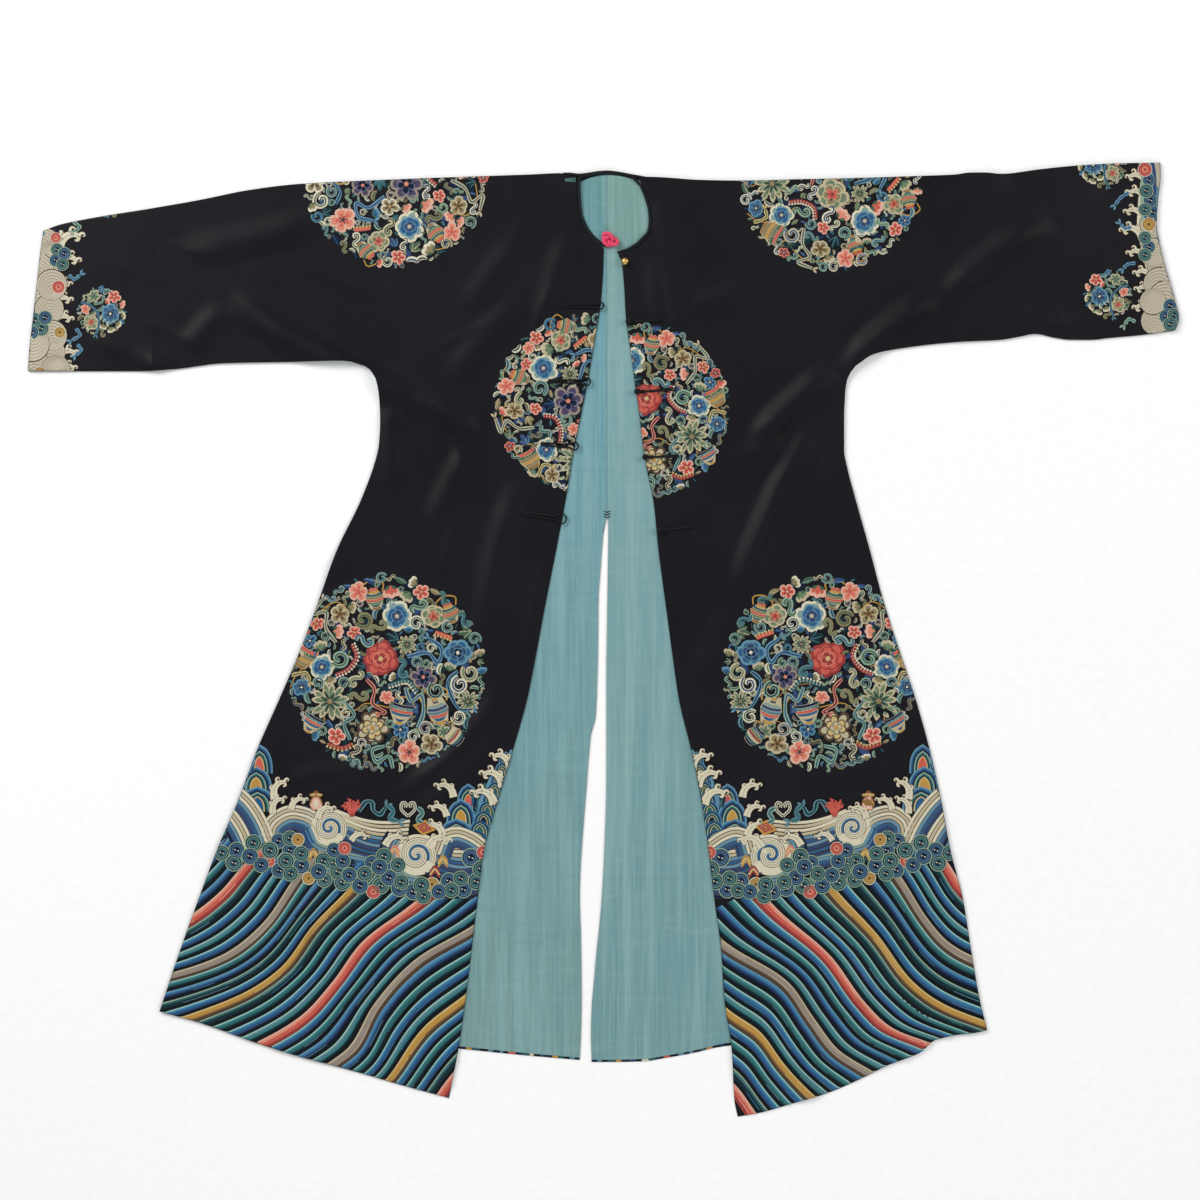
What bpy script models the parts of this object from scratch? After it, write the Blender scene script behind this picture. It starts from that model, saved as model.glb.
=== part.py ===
"""A long silk surcoat laid flat on its back and open down the front.

Each half is cut in one with its sleeve, as wide as the cloth was woven, and a sleeve end is sewn on
beyond that. The pieces are the two fronts, the two backs with the lining that shows between the
fronts, the two sleeve ends, the neck binding, the cord loops and the knotted buttons.

Tables are in millimetres: across is the distance from the centre seam, positive towards the wearer's
left, and drop is the distance down from the neck point. The model itself is in metres.
"""

import math
from collections import namedtuple

import bmesh
import bpy
from mathutils import Vector
from mathutils.bvhtree import BVHTree

MM = 0.001

# Walls and the gap between pieces that lie on each other
BACK_WALL = 1.0
LINING_WALL = 1.0
FRONT_WALL = 1.5
SLEEVE_END_WALL = 1.0
SEAM_GAP = 0.3
LINING_LEVEL = BACK_WALL + SEAM_GAP
FRONT_LEVEL = LINING_LEVEL + LINING_WALL + SEAM_GAP
SLEEVE_END_HEIGHT = FRONT_LEVEL + FRONT_WALL

# Plan sizes that several pieces share, and how finely the panels are divided
CLOTH_WIDTH = 680.0
NECK_SIDE = 45.0
CHEST_DROP = 303.0
BACK_INSET = 2.5
LINING_INSET = 6.0
HEM_SHOWS_BELOW_LINING = 3.5
HEM_FALL_STARTS = 32.0
HEM_FALL_LENGTH = 40.0
SLEEVE_COLUMNS = 17
BODY_COLUMNS = 16
NECK_ROWS = 6
CHEST_ROWS = 14
SKIRT_ROWS = 50
SKIRT_CROWD = 1.15
BACK_COLUMNS = 7
BACK_CHEST_ROWS = 4
BACK_SKIRT_ROWS = 18
SLEEVE_END_COLUMNS = 7
SLEEVE_END_ROWS = 9
FOLD_SHARE = 0.008
WELD = 0.02 * MM

# Trimmings
CORD_RADIUS = 1.3
KNOT_RADIUS = 4.4
BINDING_RADIUS = 2.2
BACK_BINDING_RADIUS = 2.6
BALL_RADIUS = 6.0
PINK_CORD_RADIUS = 2.2
BINDING_STARTS = 0.35
EIGHT_WAYS = [math.pi * k / 4 for k in range(8)]

Row = namedtuple("Row", "at value")
Fold = namedtuple("Fold", "from_across from_drop to_across to_drop bow half_width height")
Closure = namedtuple("Closure", "root_across root_drop tip_across tip_drop eye_width")
Half = namedtuple(
    "Half",
    "side shoulder sleeve_under side_edge front_edge neck hem vent back_hem cuff folds",
)


def table(*rows):
    """Rows of (at, value), in order of at, as a named table."""
    return [Row(*row) for row in sorted(rows)]


# The wearer's right half, which lies on the left when seen from above.
RIGHT = Half(
    side=-1,
    # across, drop of the fold along the shoulder and the top of the sleeve
    shoulder=table((-845, 79), (-820, 70), (-760, 58), (-685, 46), (-610, 33), (-535, 18),
                   (-460, 9), (-310, 2), (-175, -3), (-115, -5), (-70, -7), (-45, 2)),
    # across, drop of the seam under the sleeve
    sleeve_under=table((-868, 290), (-798, 290), (-693, 290), (-648, 287), (-573, 278), (-460, 276),
                       (-400, 275), (-383, 276), (-368, 280), (-355, 288)),
    # drop, across of the side seam
    side_edge=table((288, -355), (303, -346), (325, -342), (363, -340), (400, -342), (426, -348),
                    (483, -369), (558, -405), (633, -432), (708, -460), (783, -492), (858, -525),
                    (933, -553), (1008, -585), (1083, -613), (1158, -640), (1250, -671)),
    # drop, across of the edge of the front
    front_edge=table((105, -4.5), (146, -6), (198, -10.5), (232, -16.5), (303, -28.5), (342, -36),
                     (421, -52), (472, -60), (558, -76), (633, -91), (708, -105), (783, -120),
                     (858, -141), (933, -163), (1008, -184), (1083, -194), (1158, -203),
                     (1233, -212), (1308, -223), (1380, -237)),
    # across, drop of the neck edge, from the shoulder to the corner of the front
    neck=[(-45, 2), (-44, 28), (-42, 52), (-36, 70), (-25.5, 87), (-15, 97), (-4.5, 105)],
    # across, drop of the hem of the front
    hem=table((-671, 1250), (-610, 1267), (-535, 1294), (-460, 1318), (-385, 1338), (-310, 1360),
              (-237, 1380)),
    # drop, across of the centre edge of the back, which opens below the seam
    vent=table((-6, -0.15), (505, -0.15), (527, -5), (590, -10), (633, -13), (708, -13.6),
               (790, -16), (815, -18), (828, -23), (853, -26), (903, -30), (1083, -41), (1137, -39),
               (1230, -38), (1283, -39), (1323, -41)),
    # across, drop of the hem of the back
    back_hem=table((-671, 1250), (-500, 1276), (-350, 1294), (-223, 1306), (-134, 1315), (-41, 1323)),
    # drop, across of the cuff
    cuff=table((79, -845), (115, -850), (160, -855), (213, -861), (258, -866), (290, -868)),
    folds=[
        Fold(-565, 180, -268, 335, 14, 34, 11.0),
        Fold(-292, 330, -190, 395, -10, 28, 7.0),
        Fold(-200, 400, -262, 530, 6, 28, 5.0),
        Fold(-120, 440, -182, 700, 14, 32, 6.5),
        Fold(-52, 80, -96, 225, 5, 28, 4.0),
        Fold(-140, 90, -212, 200, -4, 30, 3.5),
        Fold(-128, 180, -236, 310, 4, 32, 4.0),
        Fold(-430, 62, -640, 112, -5, 34, 4.5),
        Fold(-778, 234, -650, 288, 5, 26, 6.5),
        Fold(-570, 196, -632, 262, 4, 28, 4.5),
        Fold(-322, 325, -318, 470, 6, 24, 5.0),
        Fold(-150, 765, -312, 945, -8, 38, 7.5),
        Fold(-395, 1040, -560, 1190, -10, 38, 7.0),
        Fold(-345, 890, -480, 908, 4, 32, 4.0),
        Fold(-385, 560, -470, 640, 6, 34, 3.5),
        Fold(-255, 1170, -345, 1300, 8, 36, 5.0),
    ],
)

# The wearer's left half, which lies on the right when seen from above.
LEFT = Half(
    side=1,
    shoulder=table((45, -2), (79, -1), (139, 3), (195, 4), (290, 2), (380, 0), (470, -3), (522, -5),
                   (545, -8), (567, -8), (590, -6), (650, -13), (710, -19), (770, -22), (829, -23)),
    sleeve_under=table((365, 292), (372, 283), (384, 273), (399, 265), (417, 260), (440, 256),
                       (485, 250), (530, 246), (590, 243), (620, 238), (642, 234), (672, 240),
                       (695, 243), (725, 243), (755, 240), (800, 236), (852, 229)),
    side_edge=table((292, 365), (303, 360), (325, 357), (363, 355.5), (408, 355.5), (438, 361),
                    (483, 373), (558, 394), (633, 414), (708, 438), (783, 463), (858, 484),
                    (933, 501), (1008, 515), (1083, 534), (1158, 546), (1233, 559), (1278, 570)),
    front_edge=table((115, 16.5), (127, 22), (162, 25.5), (213, 28.5), (264, 36), (303, 41),
                     (351, 48), (402, 54), (444, 61), (488, 70), (558, 77), (633, 87), (708, 97),
                     (783, 108), (858, 126), (933, 141), (1008, 152), (1083, 161), (1158, 171),
                     (1233, 176), (1308, 187), (1383, 191), (1408, 196)),
    neck=[(45, -2), (53, 11), (60, 28), (66, 50), (67, 65), (65, 80), (56, 92), (44, 103), (29, 111),
          (16.5, 115)],
    hem=table((196, 1408), (230, 1402), (282, 1387), (335, 1371), (381, 1351), (423, 1330),
              (450, 1320), (471, 1311), (482, 1301), (491, 1293), (502, 1290), (526, 1285),
              (552, 1282), (570, 1278)),
    vent=table((-6, 0.15), (505, 0.15), (516, 2), (643, 0.5), (753, -1), (903, -1), (1008, -4),
               (1083, -8), (1128, -12), (1164, -16), (1210, -20), (1246, -23), (1283, -24),
               (1326, -23)),
    back_hem=table((-23, 1326), (13, 1326), (56, 1325), (88, 1320), (132, 1312), (181, 1301),
                   (300, 1292), (430, 1284), (570, 1278)),
    cuff=table((-23, 829), (-4, 830), (34, 826), (73, 824), (96, 828), (123, 834), (157, 844),
               (189, 853), (213, 858), (229, 852)),
    folds=[
        Fold(668, 60, 500, 190, 10, 34, 10.5),
        Fold(505, 176, 352, 300, 14, 32, 10.0),
        Fold(352, 285, 215, 410, 10, 32, 9.5),
        Fold(318, 365, 190, 640, 12, 28, 8.5),
        Fold(505, 236, 720, 214, -4, 22, 4.5),
        Fold(605, 0, 490, 60, 6, 30, 4.0),
        Fold(745, 12, 672, 68, 4, 28, 4.0),
        Fold(74, 30, 118, 130, 4, 24, 3.5),
        Fold(70, 120, 92, 240, 4, 24, 3.5),
        Fold(180, 418, 275, 402, 5, 26, 3.5),
        Fold(345, 1185, 480, 1288, 6, 34, 9.0),
        Fold(445, 1190, 545, 1262, 6, 30, 6.0),
        Fold(262, 860, 262, 960, 4, 30, 4.0),
        Fold(420, 800, 385, 930, 6, 34, 4.5),
        Fold(190, 640, 150, 760, 6, 36, 4.0),
        Fold(270, 1290, 312, 1390, 6, 32, 6.0),
        Fold(120, 190, 215, 170, 4, 30, 3.5),
    ],
)

# Cord loops on the right front and knotted buttons on the left, from the top
LOOPS = [
    Closure(-69, 192, -5, 192, 5.0),
    Closure(-88, 305, -25, 306, 6.5),
    Closure(-99, 399, -43, 403, 6.0),
    Closure(-126, 504, -61, 512, 9.0),
]
BUTTONS = [
    Closure(80, 213, 37, 216, 3.4),
    Closure(99, 317, 50, 321, 3.4),
    Closure(107, 417, 62, 419, 3.4),
    Closure(128, 522, 83, 529, 3.4),
]


def slope(rows, i):
    """The slope of a table's curve at a row: level where its rows turn back or run level."""
    if i in (0, len(rows) - 1):
        a, b = (rows[0], rows[1]) if i == 0 else (rows[-2], rows[-1])
        return (b.value - a.value) / (b.at - a.at)
    before = (rows[i].value - rows[i - 1].value) / (rows[i].at - rows[i - 1].at)
    after = (rows[i + 1].value - rows[i].value) / (rows[i + 1].at - rows[i].at)
    if before * after <= 0:
        return 0.0
    return 2 * before * after / (before + after)


def smooth(rows, at):
    """The value at a place along a table, on a smooth curve through its rows."""
    if at <= rows[0].at:
        return rows[0].value
    if at >= rows[-1].at:
        return rows[-1].value
    i = next(k for k in range(len(rows) - 1) if at <= rows[k + 1].at)
    a, b = rows[i], rows[i + 1]
    step = b.at - a.at
    s = (at - a.at) / step
    return (
        a.value * (1 + 2 * s) * (1 - s) ** 2
        + b.value * s * s * (3 - 2 * s)
        + step * (slope(rows, i) * s * (1 - s) ** 2 - slope(rows, i + 1) * s * s * (1 - s))
    )


def mix(a, b, s):
    return a + (b - a) * s


def along_across(rows, first, last):
    """A line whose drop the table gives, run from one place across to another."""

    def line(s):
        across = mix(first, last, s)
        return across, smooth(rows, across)

    return line


def along_drop(rows, first, last, inset=0.0):
    """A line whose place across the table gives, run from one drop to another."""

    def line(s):
        drop = mix(first, last, s)
        return smooth(rows, drop) + inset, drop

    return line


def straight(first, last):
    return lambda s: (mix(first[0], last[0], s), mix(first[1], last[1], s))


def through(spots):
    """A smooth line through places given as (across, drop)."""
    reach = [0.0]
    for a, b in zip(spots, spots[1:]):
        reach.append(reach[-1] + math.dist(a, b))
    across = table(*zip(reach, (spot[0] for spot in spots)))
    drop = table(*zip(reach, (spot[1] for spot in spots)))

    def line(s):
        return smooth(across, s * reach[-1]), smooth(drop, s * reach[-1])

    return line


def joined(first, second, share):
    """Two lines end to end, the first over this share of the way."""
    return lambda s: first(s / share) if s <= share else second((s - share) / (1 - share))


def lowered(line, by):
    """A line moved down by a distance."""

    def moved(s):
        across, drop = line(s)
        return across, drop + by

    return moved


def patch_point(top, bottom, outer, inner, u, v):
    """The place on a panel bounded by four lines; u runs from outer to inner and v from top to bottom."""
    corners = ((top(0), top(1)), (bottom(0), bottom(1)))
    point = []
    for k in (0, 1):
        between_ends = mix(outer(v)[k], inner(v)[k], u)
        between_hems = mix(top(u)[k], bottom(u)[k], v)
        flat = mix(mix(corners[0][0][k], corners[0][1][k], u), mix(corners[1][0][k], corners[1][1][k], u), v)
        point.append(between_ends + between_hems - flat)
    return point


def fold_height(folds, across, drop):
    """How far the folds lift the cloth here, in millimetres."""
    lift = 0.0
    for fold in folds:
        run = Vector((fold.to_across - fold.from_across, fold.to_drop - fold.from_drop))
        here = Vector((across - fold.from_across, drop - fold.from_drop))
        s = here.dot(run) / run.length_squared
        if not 0 < s < 1:
            continue
        side = run.cross(here) / run.length - fold.bow * 4 * s * (1 - s)
        if abs(side) < fold.half_width:
            ends = min(1.0, 4 * s * (1 - s) * 1.3)
            lift += fold.height * ends * math.cos(math.pi / 2 * side / fold.half_width) ** 2
    return lift


def front_level(half, across, drop):
    """The underside of the front: on the lining, and down on the floor past the back's hem."""
    past_hem = drop - smooth(half.back_hem, across) - HEM_FALL_STARTS
    fall = min(max(past_hem / HEM_FALL_LENGTH, 0.0), 1.0)
    rest = FRONT_LEVEL * (1 - fall * fall * (3 - 2 * fall))
    return rest + fold_height(half.folds, across, drop)


def add_block(bm, lines, columns, rows, mirrored, height, crowd=1.0):
    """One grid of faces between four lines. crowd above 1 packs the rows towards the top."""
    grid = bmesh.ops.create_grid(bm, x_segments=columns, y_segments=rows, size=1.0)
    for vertex in grid["verts"]:
        u = (vertex.co.x + 1) / 2
        v = ((1 - vertex.co.y) / 2) ** crowd
        if mirrored:
            u = 1 - u
        across, drop = patch_point(*lines, u, v)
        vertex.co = Vector((across, -drop, height(across, drop))) * MM


def link(name, data, material):
    obj = bpy.data.objects.new(name, data)
    obj.data.materials.append(material)
    SURCOAT.objects.link(obj)
    return obj


def cloth(name, bm, wall, grows, material):
    """A wall of cloth on an open surface; it grows out along the normals at 1 and inwards at -1."""
    bmesh.ops.remove_doubles(bm, verts=bm.verts, dist=WELD)
    mesh = bpy.data.meshes.new(name)
    bm.to_mesh(mesh)
    bm.free()
    obj = link(name, mesh, material)
    thickness = obj.modifiers.new("wall", "SOLIDIFY")
    thickness.thickness = wall * MM
    thickness.offset = grows
    return obj


def panel(name, material, wall, blocks, height, mirrored):
    """A panel of cloth made of welded grids, with its wall above the surface that height gives."""
    bm = bmesh.new()
    for lines, columns, rows, crowd in blocks:
        add_block(bm, lines, columns, rows, mirrored, height, crowd)
    return cloth(name, bm, wall, 1.0, material)


def front_panel(name, half, material):
    """One front with its part of the sleeve: sleeve, chest and skirt blocks."""
    side = half.side
    seam, neck = side * CLOTH_WIDTH, side * NECK_SIDE
    underarm = half.side_edge[0].value
    under_drop = half.side_edge[0].at
    shoulder = half.shoulder
    column = straight((underarm, smooth(shoulder, underarm)), (underarm, under_drop))
    sleeve = (
        along_across(shoulder, seam, underarm),
        along_across(half.sleeve_under, seam, underarm),
        straight((seam, smooth(shoulder, seam)), (seam, smooth(half.sleeve_under, seam))),
        column,
    )
    chest_line = straight((underarm, under_drop), (smooth(half.front_edge, CHEST_DROP), CHEST_DROP))
    edge_top, edge_foot = half.front_edge[0].at, half.front_edge[-1].at
    side_foot = half.side_edge[-1].at
    upper_edge = along_drop(half.front_edge, edge_top, CHEST_DROP)
    chest = (
        along_across(shoulder, underarm, neck),
        chest_line,
        column,
        joined(through(half.neck), upper_edge, NECK_ROWS / CHEST_ROWS),
    )
    skirt = (
        chest_line,
        along_across(half.hem, half.side_edge[-1].value, half.front_edge[-1].value),
        along_drop(half.side_edge, under_drop, side_foot),
        along_drop(half.front_edge, CHEST_DROP, edge_foot),
    )
    blocks = [
        (sleeve, SLEEVE_COLUMNS, CHEST_ROWS, 1.0),
        (chest, BODY_COLUMNS, CHEST_ROWS, 1.0),
        (skirt, BODY_COLUMNS, SKIRT_ROWS, SKIRT_CROWD),
    ]
    return panel(
        name, material, FRONT_WALL, blocks,
        lambda across, drop: front_level(half, across, drop), side > 0,
    )


def back_panel(name, half, material, wall, level, inset, hem_lift):
    """One half of the back, or of its lining, drawn in from the outline by an inset."""
    side = half.side
    seam = side * (CLOTH_WIDTH - SEAM_GAP)
    neck = side * NECK_SIDE
    underarm = half.side_edge[0].value - side * inset
    under_drop = half.side_edge[0].at - inset
    column = straight((underarm, smooth(half.shoulder, underarm) + inset), (underarm, under_drop))
    under_line = along_across(half.sleeve_under, seam, half.side_edge[0].value)
    seam_top, seam_foot = smooth(half.shoulder, seam) + inset, smooth(half.sleeve_under, seam) - inset
    sleeve = (
        lowered(along_across(half.shoulder, seam, underarm), inset),
        lambda s: (mix(seam, underarm, s), under_line(s)[1] - inset),
        straight((seam, seam_top), (seam, seam_foot)),
        column,
    )
    centre, neck_back = half.vent[0].value, half.vent[0].at + inset
    back_neck = straight((neck, smooth(half.shoulder, neck) + inset), (centre, neck_back))
    chest_line = straight((underarm, under_drop), (centre, CHEST_DROP))
    top_line = lowered(along_across(half.shoulder, underarm, neck), inset)
    chest = (
        joined(top_line, back_neck, 1 - 1 / BACK_COLUMNS),
        chest_line,
        column,
        straight((centre, neck_back), (centre, CHEST_DROP)),
    )
    side_foot, vent_foot = half.side_edge[-1].at - hem_lift, half.vent[-1].at - hem_lift
    hem_corner = half.side_edge[-1].value - side * inset
    first = half.side_edge[1]
    under_curve = straight((underarm, under_drop), (first.value - side * inset, first.at))
    side_line = along_drop(half.side_edge, first.at, side_foot, -side * inset)
    skirt = (
        chest_line,
        lowered(along_across(half.back_hem, hem_corner, half.vent[-1].value), -hem_lift),
        joined(under_curve, side_line, 1 / BACK_SKIRT_ROWS),
        along_drop(half.vent, CHEST_DROP, vent_foot),
    )
    blocks = [
        (sleeve, BACK_COLUMNS, BACK_CHEST_ROWS, 1.0),
        (chest, BACK_COLUMNS, BACK_CHEST_ROWS, 1.0),
        (skirt, BACK_COLUMNS, BACK_SKIRT_ROWS, 1.0),
    ]
    return panel(name, material, wall, blocks, lambda across, drop: level, side > 0)


def sleeve_end(name, half, material):
    """The end of a sleeve: a flattened tube, folded along the top, seamed below and open both ways."""
    side = half.side
    seam = side * (CLOTH_WIDTH + SEAM_GAP)
    shoulder, under, cuff = half.shoulder, half.sleeve_under, half.cuff
    lines = (
        along_across(shoulder, cuff[0].value, seam),
        along_across(under, cuff[-1].value, seam),
        along_drop(cuff, cuff[0].at, cuff[-1].at),
        straight((seam, smooth(shoulder, seam)), (seam, smooth(under, seam))),
    )
    within = [k / SLEEVE_END_ROWS for k in range(1, SLEEVE_END_ROWS)]
    down = [0.0, FOLD_SHARE, *within, 1 - FOLD_SHARE, 1.0]
    ring = [(v, 1) for v in down] + [(v, 0) for v in reversed(down[1:-1])]
    bm = bmesh.new()
    grid = bmesh.ops.create_grid(bm, x_segments=SLEEVE_END_COLUMNS, y_segments=len(ring), size=1.0)
    for vertex in grid["verts"]:
        u = (1 - side * vertex.co.x) / 2
        v, upper = ring[round((1 - vertex.co.y) / 2 * len(ring)) % len(ring)]
        across, drop = patch_point(*lines, u, v)
        lift = fold_height(half.folds, across, drop) * math.sin(math.pi * v)
        height = (SLEEVE_END_HEIGHT + lift) * upper
        if v in (0.0, 1.0):
            height = SLEEVE_END_HEIGHT / 2
        vertex.co = Vector((across, -drop, height)) * MM
    return cloth(name, bm, SLEEVE_END_WALL, -1.0, material)


def top_of(panels):
    """A function that gives the height of the highest of these panels at a place, in millimetres."""
    graph = bpy.context.evaluated_depsgraph_get()
    trees = [BVHTree.FromObject(panel_object, graph) for panel_object in panels]
    high = 0.1

    def height(across, drop):
        found = [tree.ray_cast(Vector((across * MM, -drop * MM, high)), Vector((0, 0, -1))) for tree in trees]
        return max((place.z for place, *_ in found if place), default=0.0) / MM

    return height


def cord(name, points, radius, material):
    """A round cord through places given as (across, drop, height), in millimetres."""
    curve = bpy.data.curves.new(name, "CURVE")
    curve.dimensions = "3D"
    curve.bevel_depth = radius * MM
    curve.bevel_resolution = 2
    curve.use_fill_caps = True
    spline = curve.splines.new("POLY")
    spline.points.add(len(points) - 1)
    for point, (across, drop, height) in zip(spline.points, points):
        point.co = (across * MM, -drop * MM, height * MM, 1.0)
    return link(name, curve, material)


def hairpin(closure, radius):
    """The plan of a doubled cord: out from its root, round an eye and back beside itself."""
    root = Vector((closure.root_across, closure.root_drop))
    tip = Vector((closure.tip_across, closure.tip_drop))
    along = (tip - root).normalized()
    beside = Vector((-along.y, along.x))
    apart = radius + SEAM_GAP / 2
    length = (tip - root).length
    eye = closure.eye_width / 2 + radius
    neck_at = length - 3.2 * eye
    out = [(s, apart) for s in (0.0, neck_at / 2, neck_at)]
    out.append((length - 2.1 * eye, eye * 0.8))
    turn = [math.pi / 2 - math.pi * k / 6 for k in range(7)]
    arc = [(length - eye + eye * math.cos(t), eye * math.sin(t)) for t in turn]
    back = [(s, -w) for s, w in reversed(out)]
    return [root + along * s + beside * w for s, w in out + arc + back]


def highest_near(height, spots, reach):
    """The highest cloth at these places or within reach of them."""
    around = [(0, 0)] + [(reach * math.cos(a), reach * math.sin(a)) for a in EIGHT_WAYS]
    return max(height(across + x, drop + y) for across, drop in spots for x, y in around)


def laid_on(height, plan, radius):
    """Places for a cord that lies on the cloth, clear of the highest cloth near each place."""
    places = []
    for k, spot in enumerate(plan):
        ahead, behind = plan[min(k + 1, len(plan) - 1)], plan[max(k - 1, 0)]
        near = [tuple(spot), tuple((spot + ahead) / 2), tuple((spot + behind) / 2)]
        under = highest_near(height, near, radius + 0.6)
        places.append([spot[0], spot[1], under + radius + SEAM_GAP])
    return places


def ball(name, across, drop, height, radius, material):
    bm = bmesh.new()
    bmesh.ops.create_uvsphere(bm, u_segments=12, v_segments=8, radius=radius * MM)
    bmesh.ops.translate(bm, verts=bm.verts, vec=Vector((across, -drop, height)) * MM)
    mesh = bpy.data.meshes.new(name)
    bm.to_mesh(mesh)
    bm.free()
    mesh.shade_smooth()
    return link(name, mesh, material)


def closures(height, loop_material, knot_material):
    """Cord loops on the right front; doubled cords, each with a knot at the edge, on the left."""
    for number, closure in enumerate(LOOPS, 1):
        places = laid_on(height, hairpin(closure, CORD_RADIUS), CORD_RADIUS)
        cord(f"loop_{number}", places, CORD_RADIUS, loop_material)
    for number, closure in enumerate(BUTTONS, 1):
        places = laid_on(height, hairpin(closure, CORD_RADIUS), CORD_RADIUS)
        cord(f"button_cord_{number}", places, CORD_RADIUS, loop_material)
        out = KNOT_RADIUS + SEAM_GAP
        across, drop = closure.tip_across - out, closure.tip_drop
        under = highest_near(height, [(across, drop)], KNOT_RADIUS)
        centre = under + KNOT_RADIUS + SEAM_GAP
        ball(f"knot_button_{number}", across, drop, centre, KNOT_RADIUS, knot_material)


def neck_binding(material):
    """A rolled binding inside the neck edge of each front, and one along the back of the neck."""
    away = BINDING_RADIUS + SEAM_GAP
    level = LINING_LEVEL + LINING_WALL + SEAM_GAP + BINDING_RADIUS
    for name, half in (("neck_binding_right", RIGHT), ("neck_binding_left", LEFT)):
        line = through(half.neck)
        edge = [Vector(line(k / NECK_ROWS)) for k in range(NECK_ROWS + 1)]
        edge[0] = edge[0].lerp(edge[1], BINDING_STARTS)
        into_neck = [Vector((b.y - a.y, a.x - b.x)).normalized() * -half.side for a, b in zip(edge, edge[1:])]
        places = []
        for k, spot in enumerate(edge):
            before, after = into_neck[max(k - 1, 0)], into_neck[min(k, NECK_ROWS - 1)]
            mitre = (before + after) / (1 + before.dot(after))
            places.append([*(spot + mitre * away), level])
        cord(name, places, BINDING_RADIUS, material)
    rise = BACK_BINDING_RADIUS + SEAM_GAP - BACK_INSET
    crown = [(-38, 0), (-26, -3.2), (-13, -5.6), (0, -6.8), (13, -6.0), (26, -4.4), (38, -2.4)]
    places = [[across, drop - rise, BACK_BINDING_RADIUS] for across, drop in crown]
    cord("neck_binding_back", places, BACK_BINDING_RADIUS, material)


def neck_closure(height, gilt, pink, black):
    """The gilt ball on a short cord at the left neck corner, and the pink cord knot at the right."""
    ball_across, ball_drop = 27.0, 126.0
    under = height(ball_across, ball_drop)
    centre = under + BALL_RADIUS + SEAM_GAP
    ball("neck_ball", ball_across, ball_drop, centre, BALL_RADIUS, gilt)
    shank = [[23.0, 113.0], [24.0, 115.5], [25.0, 118.0]]
    places = laid_on(height, [Vector(spot) for spot in shank], CORD_RADIUS)
    cord("neck_ball_cord", places, CORD_RADIUS, black)
    knot_across, knot_drop, lobes, turns, steps = 7.5, 91.0, 3, 2, 40
    level = LINING_LEVEL + LINING_WALL + SEAM_GAP + PINK_CORD_RADIUS
    rise = 2 * PINK_CORD_RADIUS + 0.6
    places = []
    for k in range(steps):
        angle = 2 * math.pi * turns * (k + 0.5) / steps * 0.97
        reach = 5.8 + 3.0 * math.cos(lobes * angle / turns)
        lift = rise * (0.5 + 0.5 * math.sin(lobes * angle / turns + 0.3))
        places.append([
            knot_across + 1.25 * reach * math.cos(angle),
            knot_drop + 0.85 * reach * math.sin(angle),
            level + lift,
        ])
    cord("neck_knot", places, PINK_CORD_RADIUS, pink)


def finish(name, colour, roughness, metallic=0.0):
    material = bpy.data.materials.new(name)
    material.use_nodes = True
    shader = material.node_tree.nodes["Principled BSDF"]
    shader.inputs["Base Color"].default_value = (*colour, 1.0)
    shader.inputs["Roughness"].default_value = roughness
    shader.inputs["Metallic"].default_value = metallic
    material.diffuse_color = (*colour, 1.0)
    return material


def centre_on_origin():
    """Moves the surcoat so that the middle of its plan is at the origin and its underside at zero."""
    graph = bpy.context.evaluated_depsgraph_get()
    places = [
        vertex.co
        for obj in SURCOAT.objects
        for vertex in obj.evaluated_get(graph).to_mesh().vertices
    ]
    low = [min(place[k] for place in places) for k in range(3)]
    high = [max(place[k] for place in places) for k in range(3)]
    holder = bpy.data.objects.new("surcoat_origin", None)
    SURCOAT.objects.link(holder)
    holder.location = (-(low[0] + high[0]) / 2, -(low[1] + high[1]) / 2, -low[2])
    for obj in SURCOAT.objects:
        if obj is not holder:
            obj.parent = holder


def build():
    satin = finish("black_satin", (0.022, 0.021, 0.027), 0.45)
    lining = finish("blue_lining", (0.22, 0.42, 0.45), 0.6)
    binding = finish("black_binding", (0.012, 0.014, 0.016), 0.5)
    cord_black = finish("black_cord", (0.012, 0.012, 0.015), 0.6)
    gilt = finish("gilt_ball", (0.72, 0.46, 0.14), 0.3, 1.0)
    pink = finish("pink_cord", (0.80, 0.16, 0.24), 0.6)
    back_panel("back_right", RIGHT, satin, BACK_WALL, 0.0, BACK_INSET, 0.0)
    back_panel("back_left", LEFT, satin, BACK_WALL, 0.0, BACK_INSET, 0.0)
    linings = [
        back_panel(name, half, lining, LINING_WALL, LINING_LEVEL, LINING_INSET, HEM_SHOWS_BELOW_LINING)
        for name, half in (("lining_right", RIGHT), ("lining_left", LEFT))
    ]
    fronts = [
        front_panel(name, half, satin)
        for name, half in (("front_right", RIGHT), ("front_left", LEFT))
    ]
    sleeve_end("sleeve_end_right", RIGHT, satin)
    sleeve_end("sleeve_end_left", LEFT, satin)
    bpy.context.view_layer.update()
    height = top_of(fronts + linings)
    closures(height, cord_black, cord_black)
    neck_binding(binding)
    neck_closure(height, gilt, pink, cord_black)
    bpy.context.view_layer.update()
    centre_on_origin()


for old in list(bpy.data.objects):
    bpy.data.objects.remove(old)
SURCOAT = bpy.data.collections.new("surcoat")
bpy.context.scene.collection.children.link(SURCOAT)
build()
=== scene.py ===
"""The surcoat as photographed: satin, lining, embroidery and trimmings, laid flat and seen from above.

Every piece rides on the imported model's one body. Tables are in millimetres: across is the distance from
the centre seam, positive towards the wearer's left, and drop is the distance down from the neck point.
"""

import math
import random
from collections import namedtuple

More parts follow.
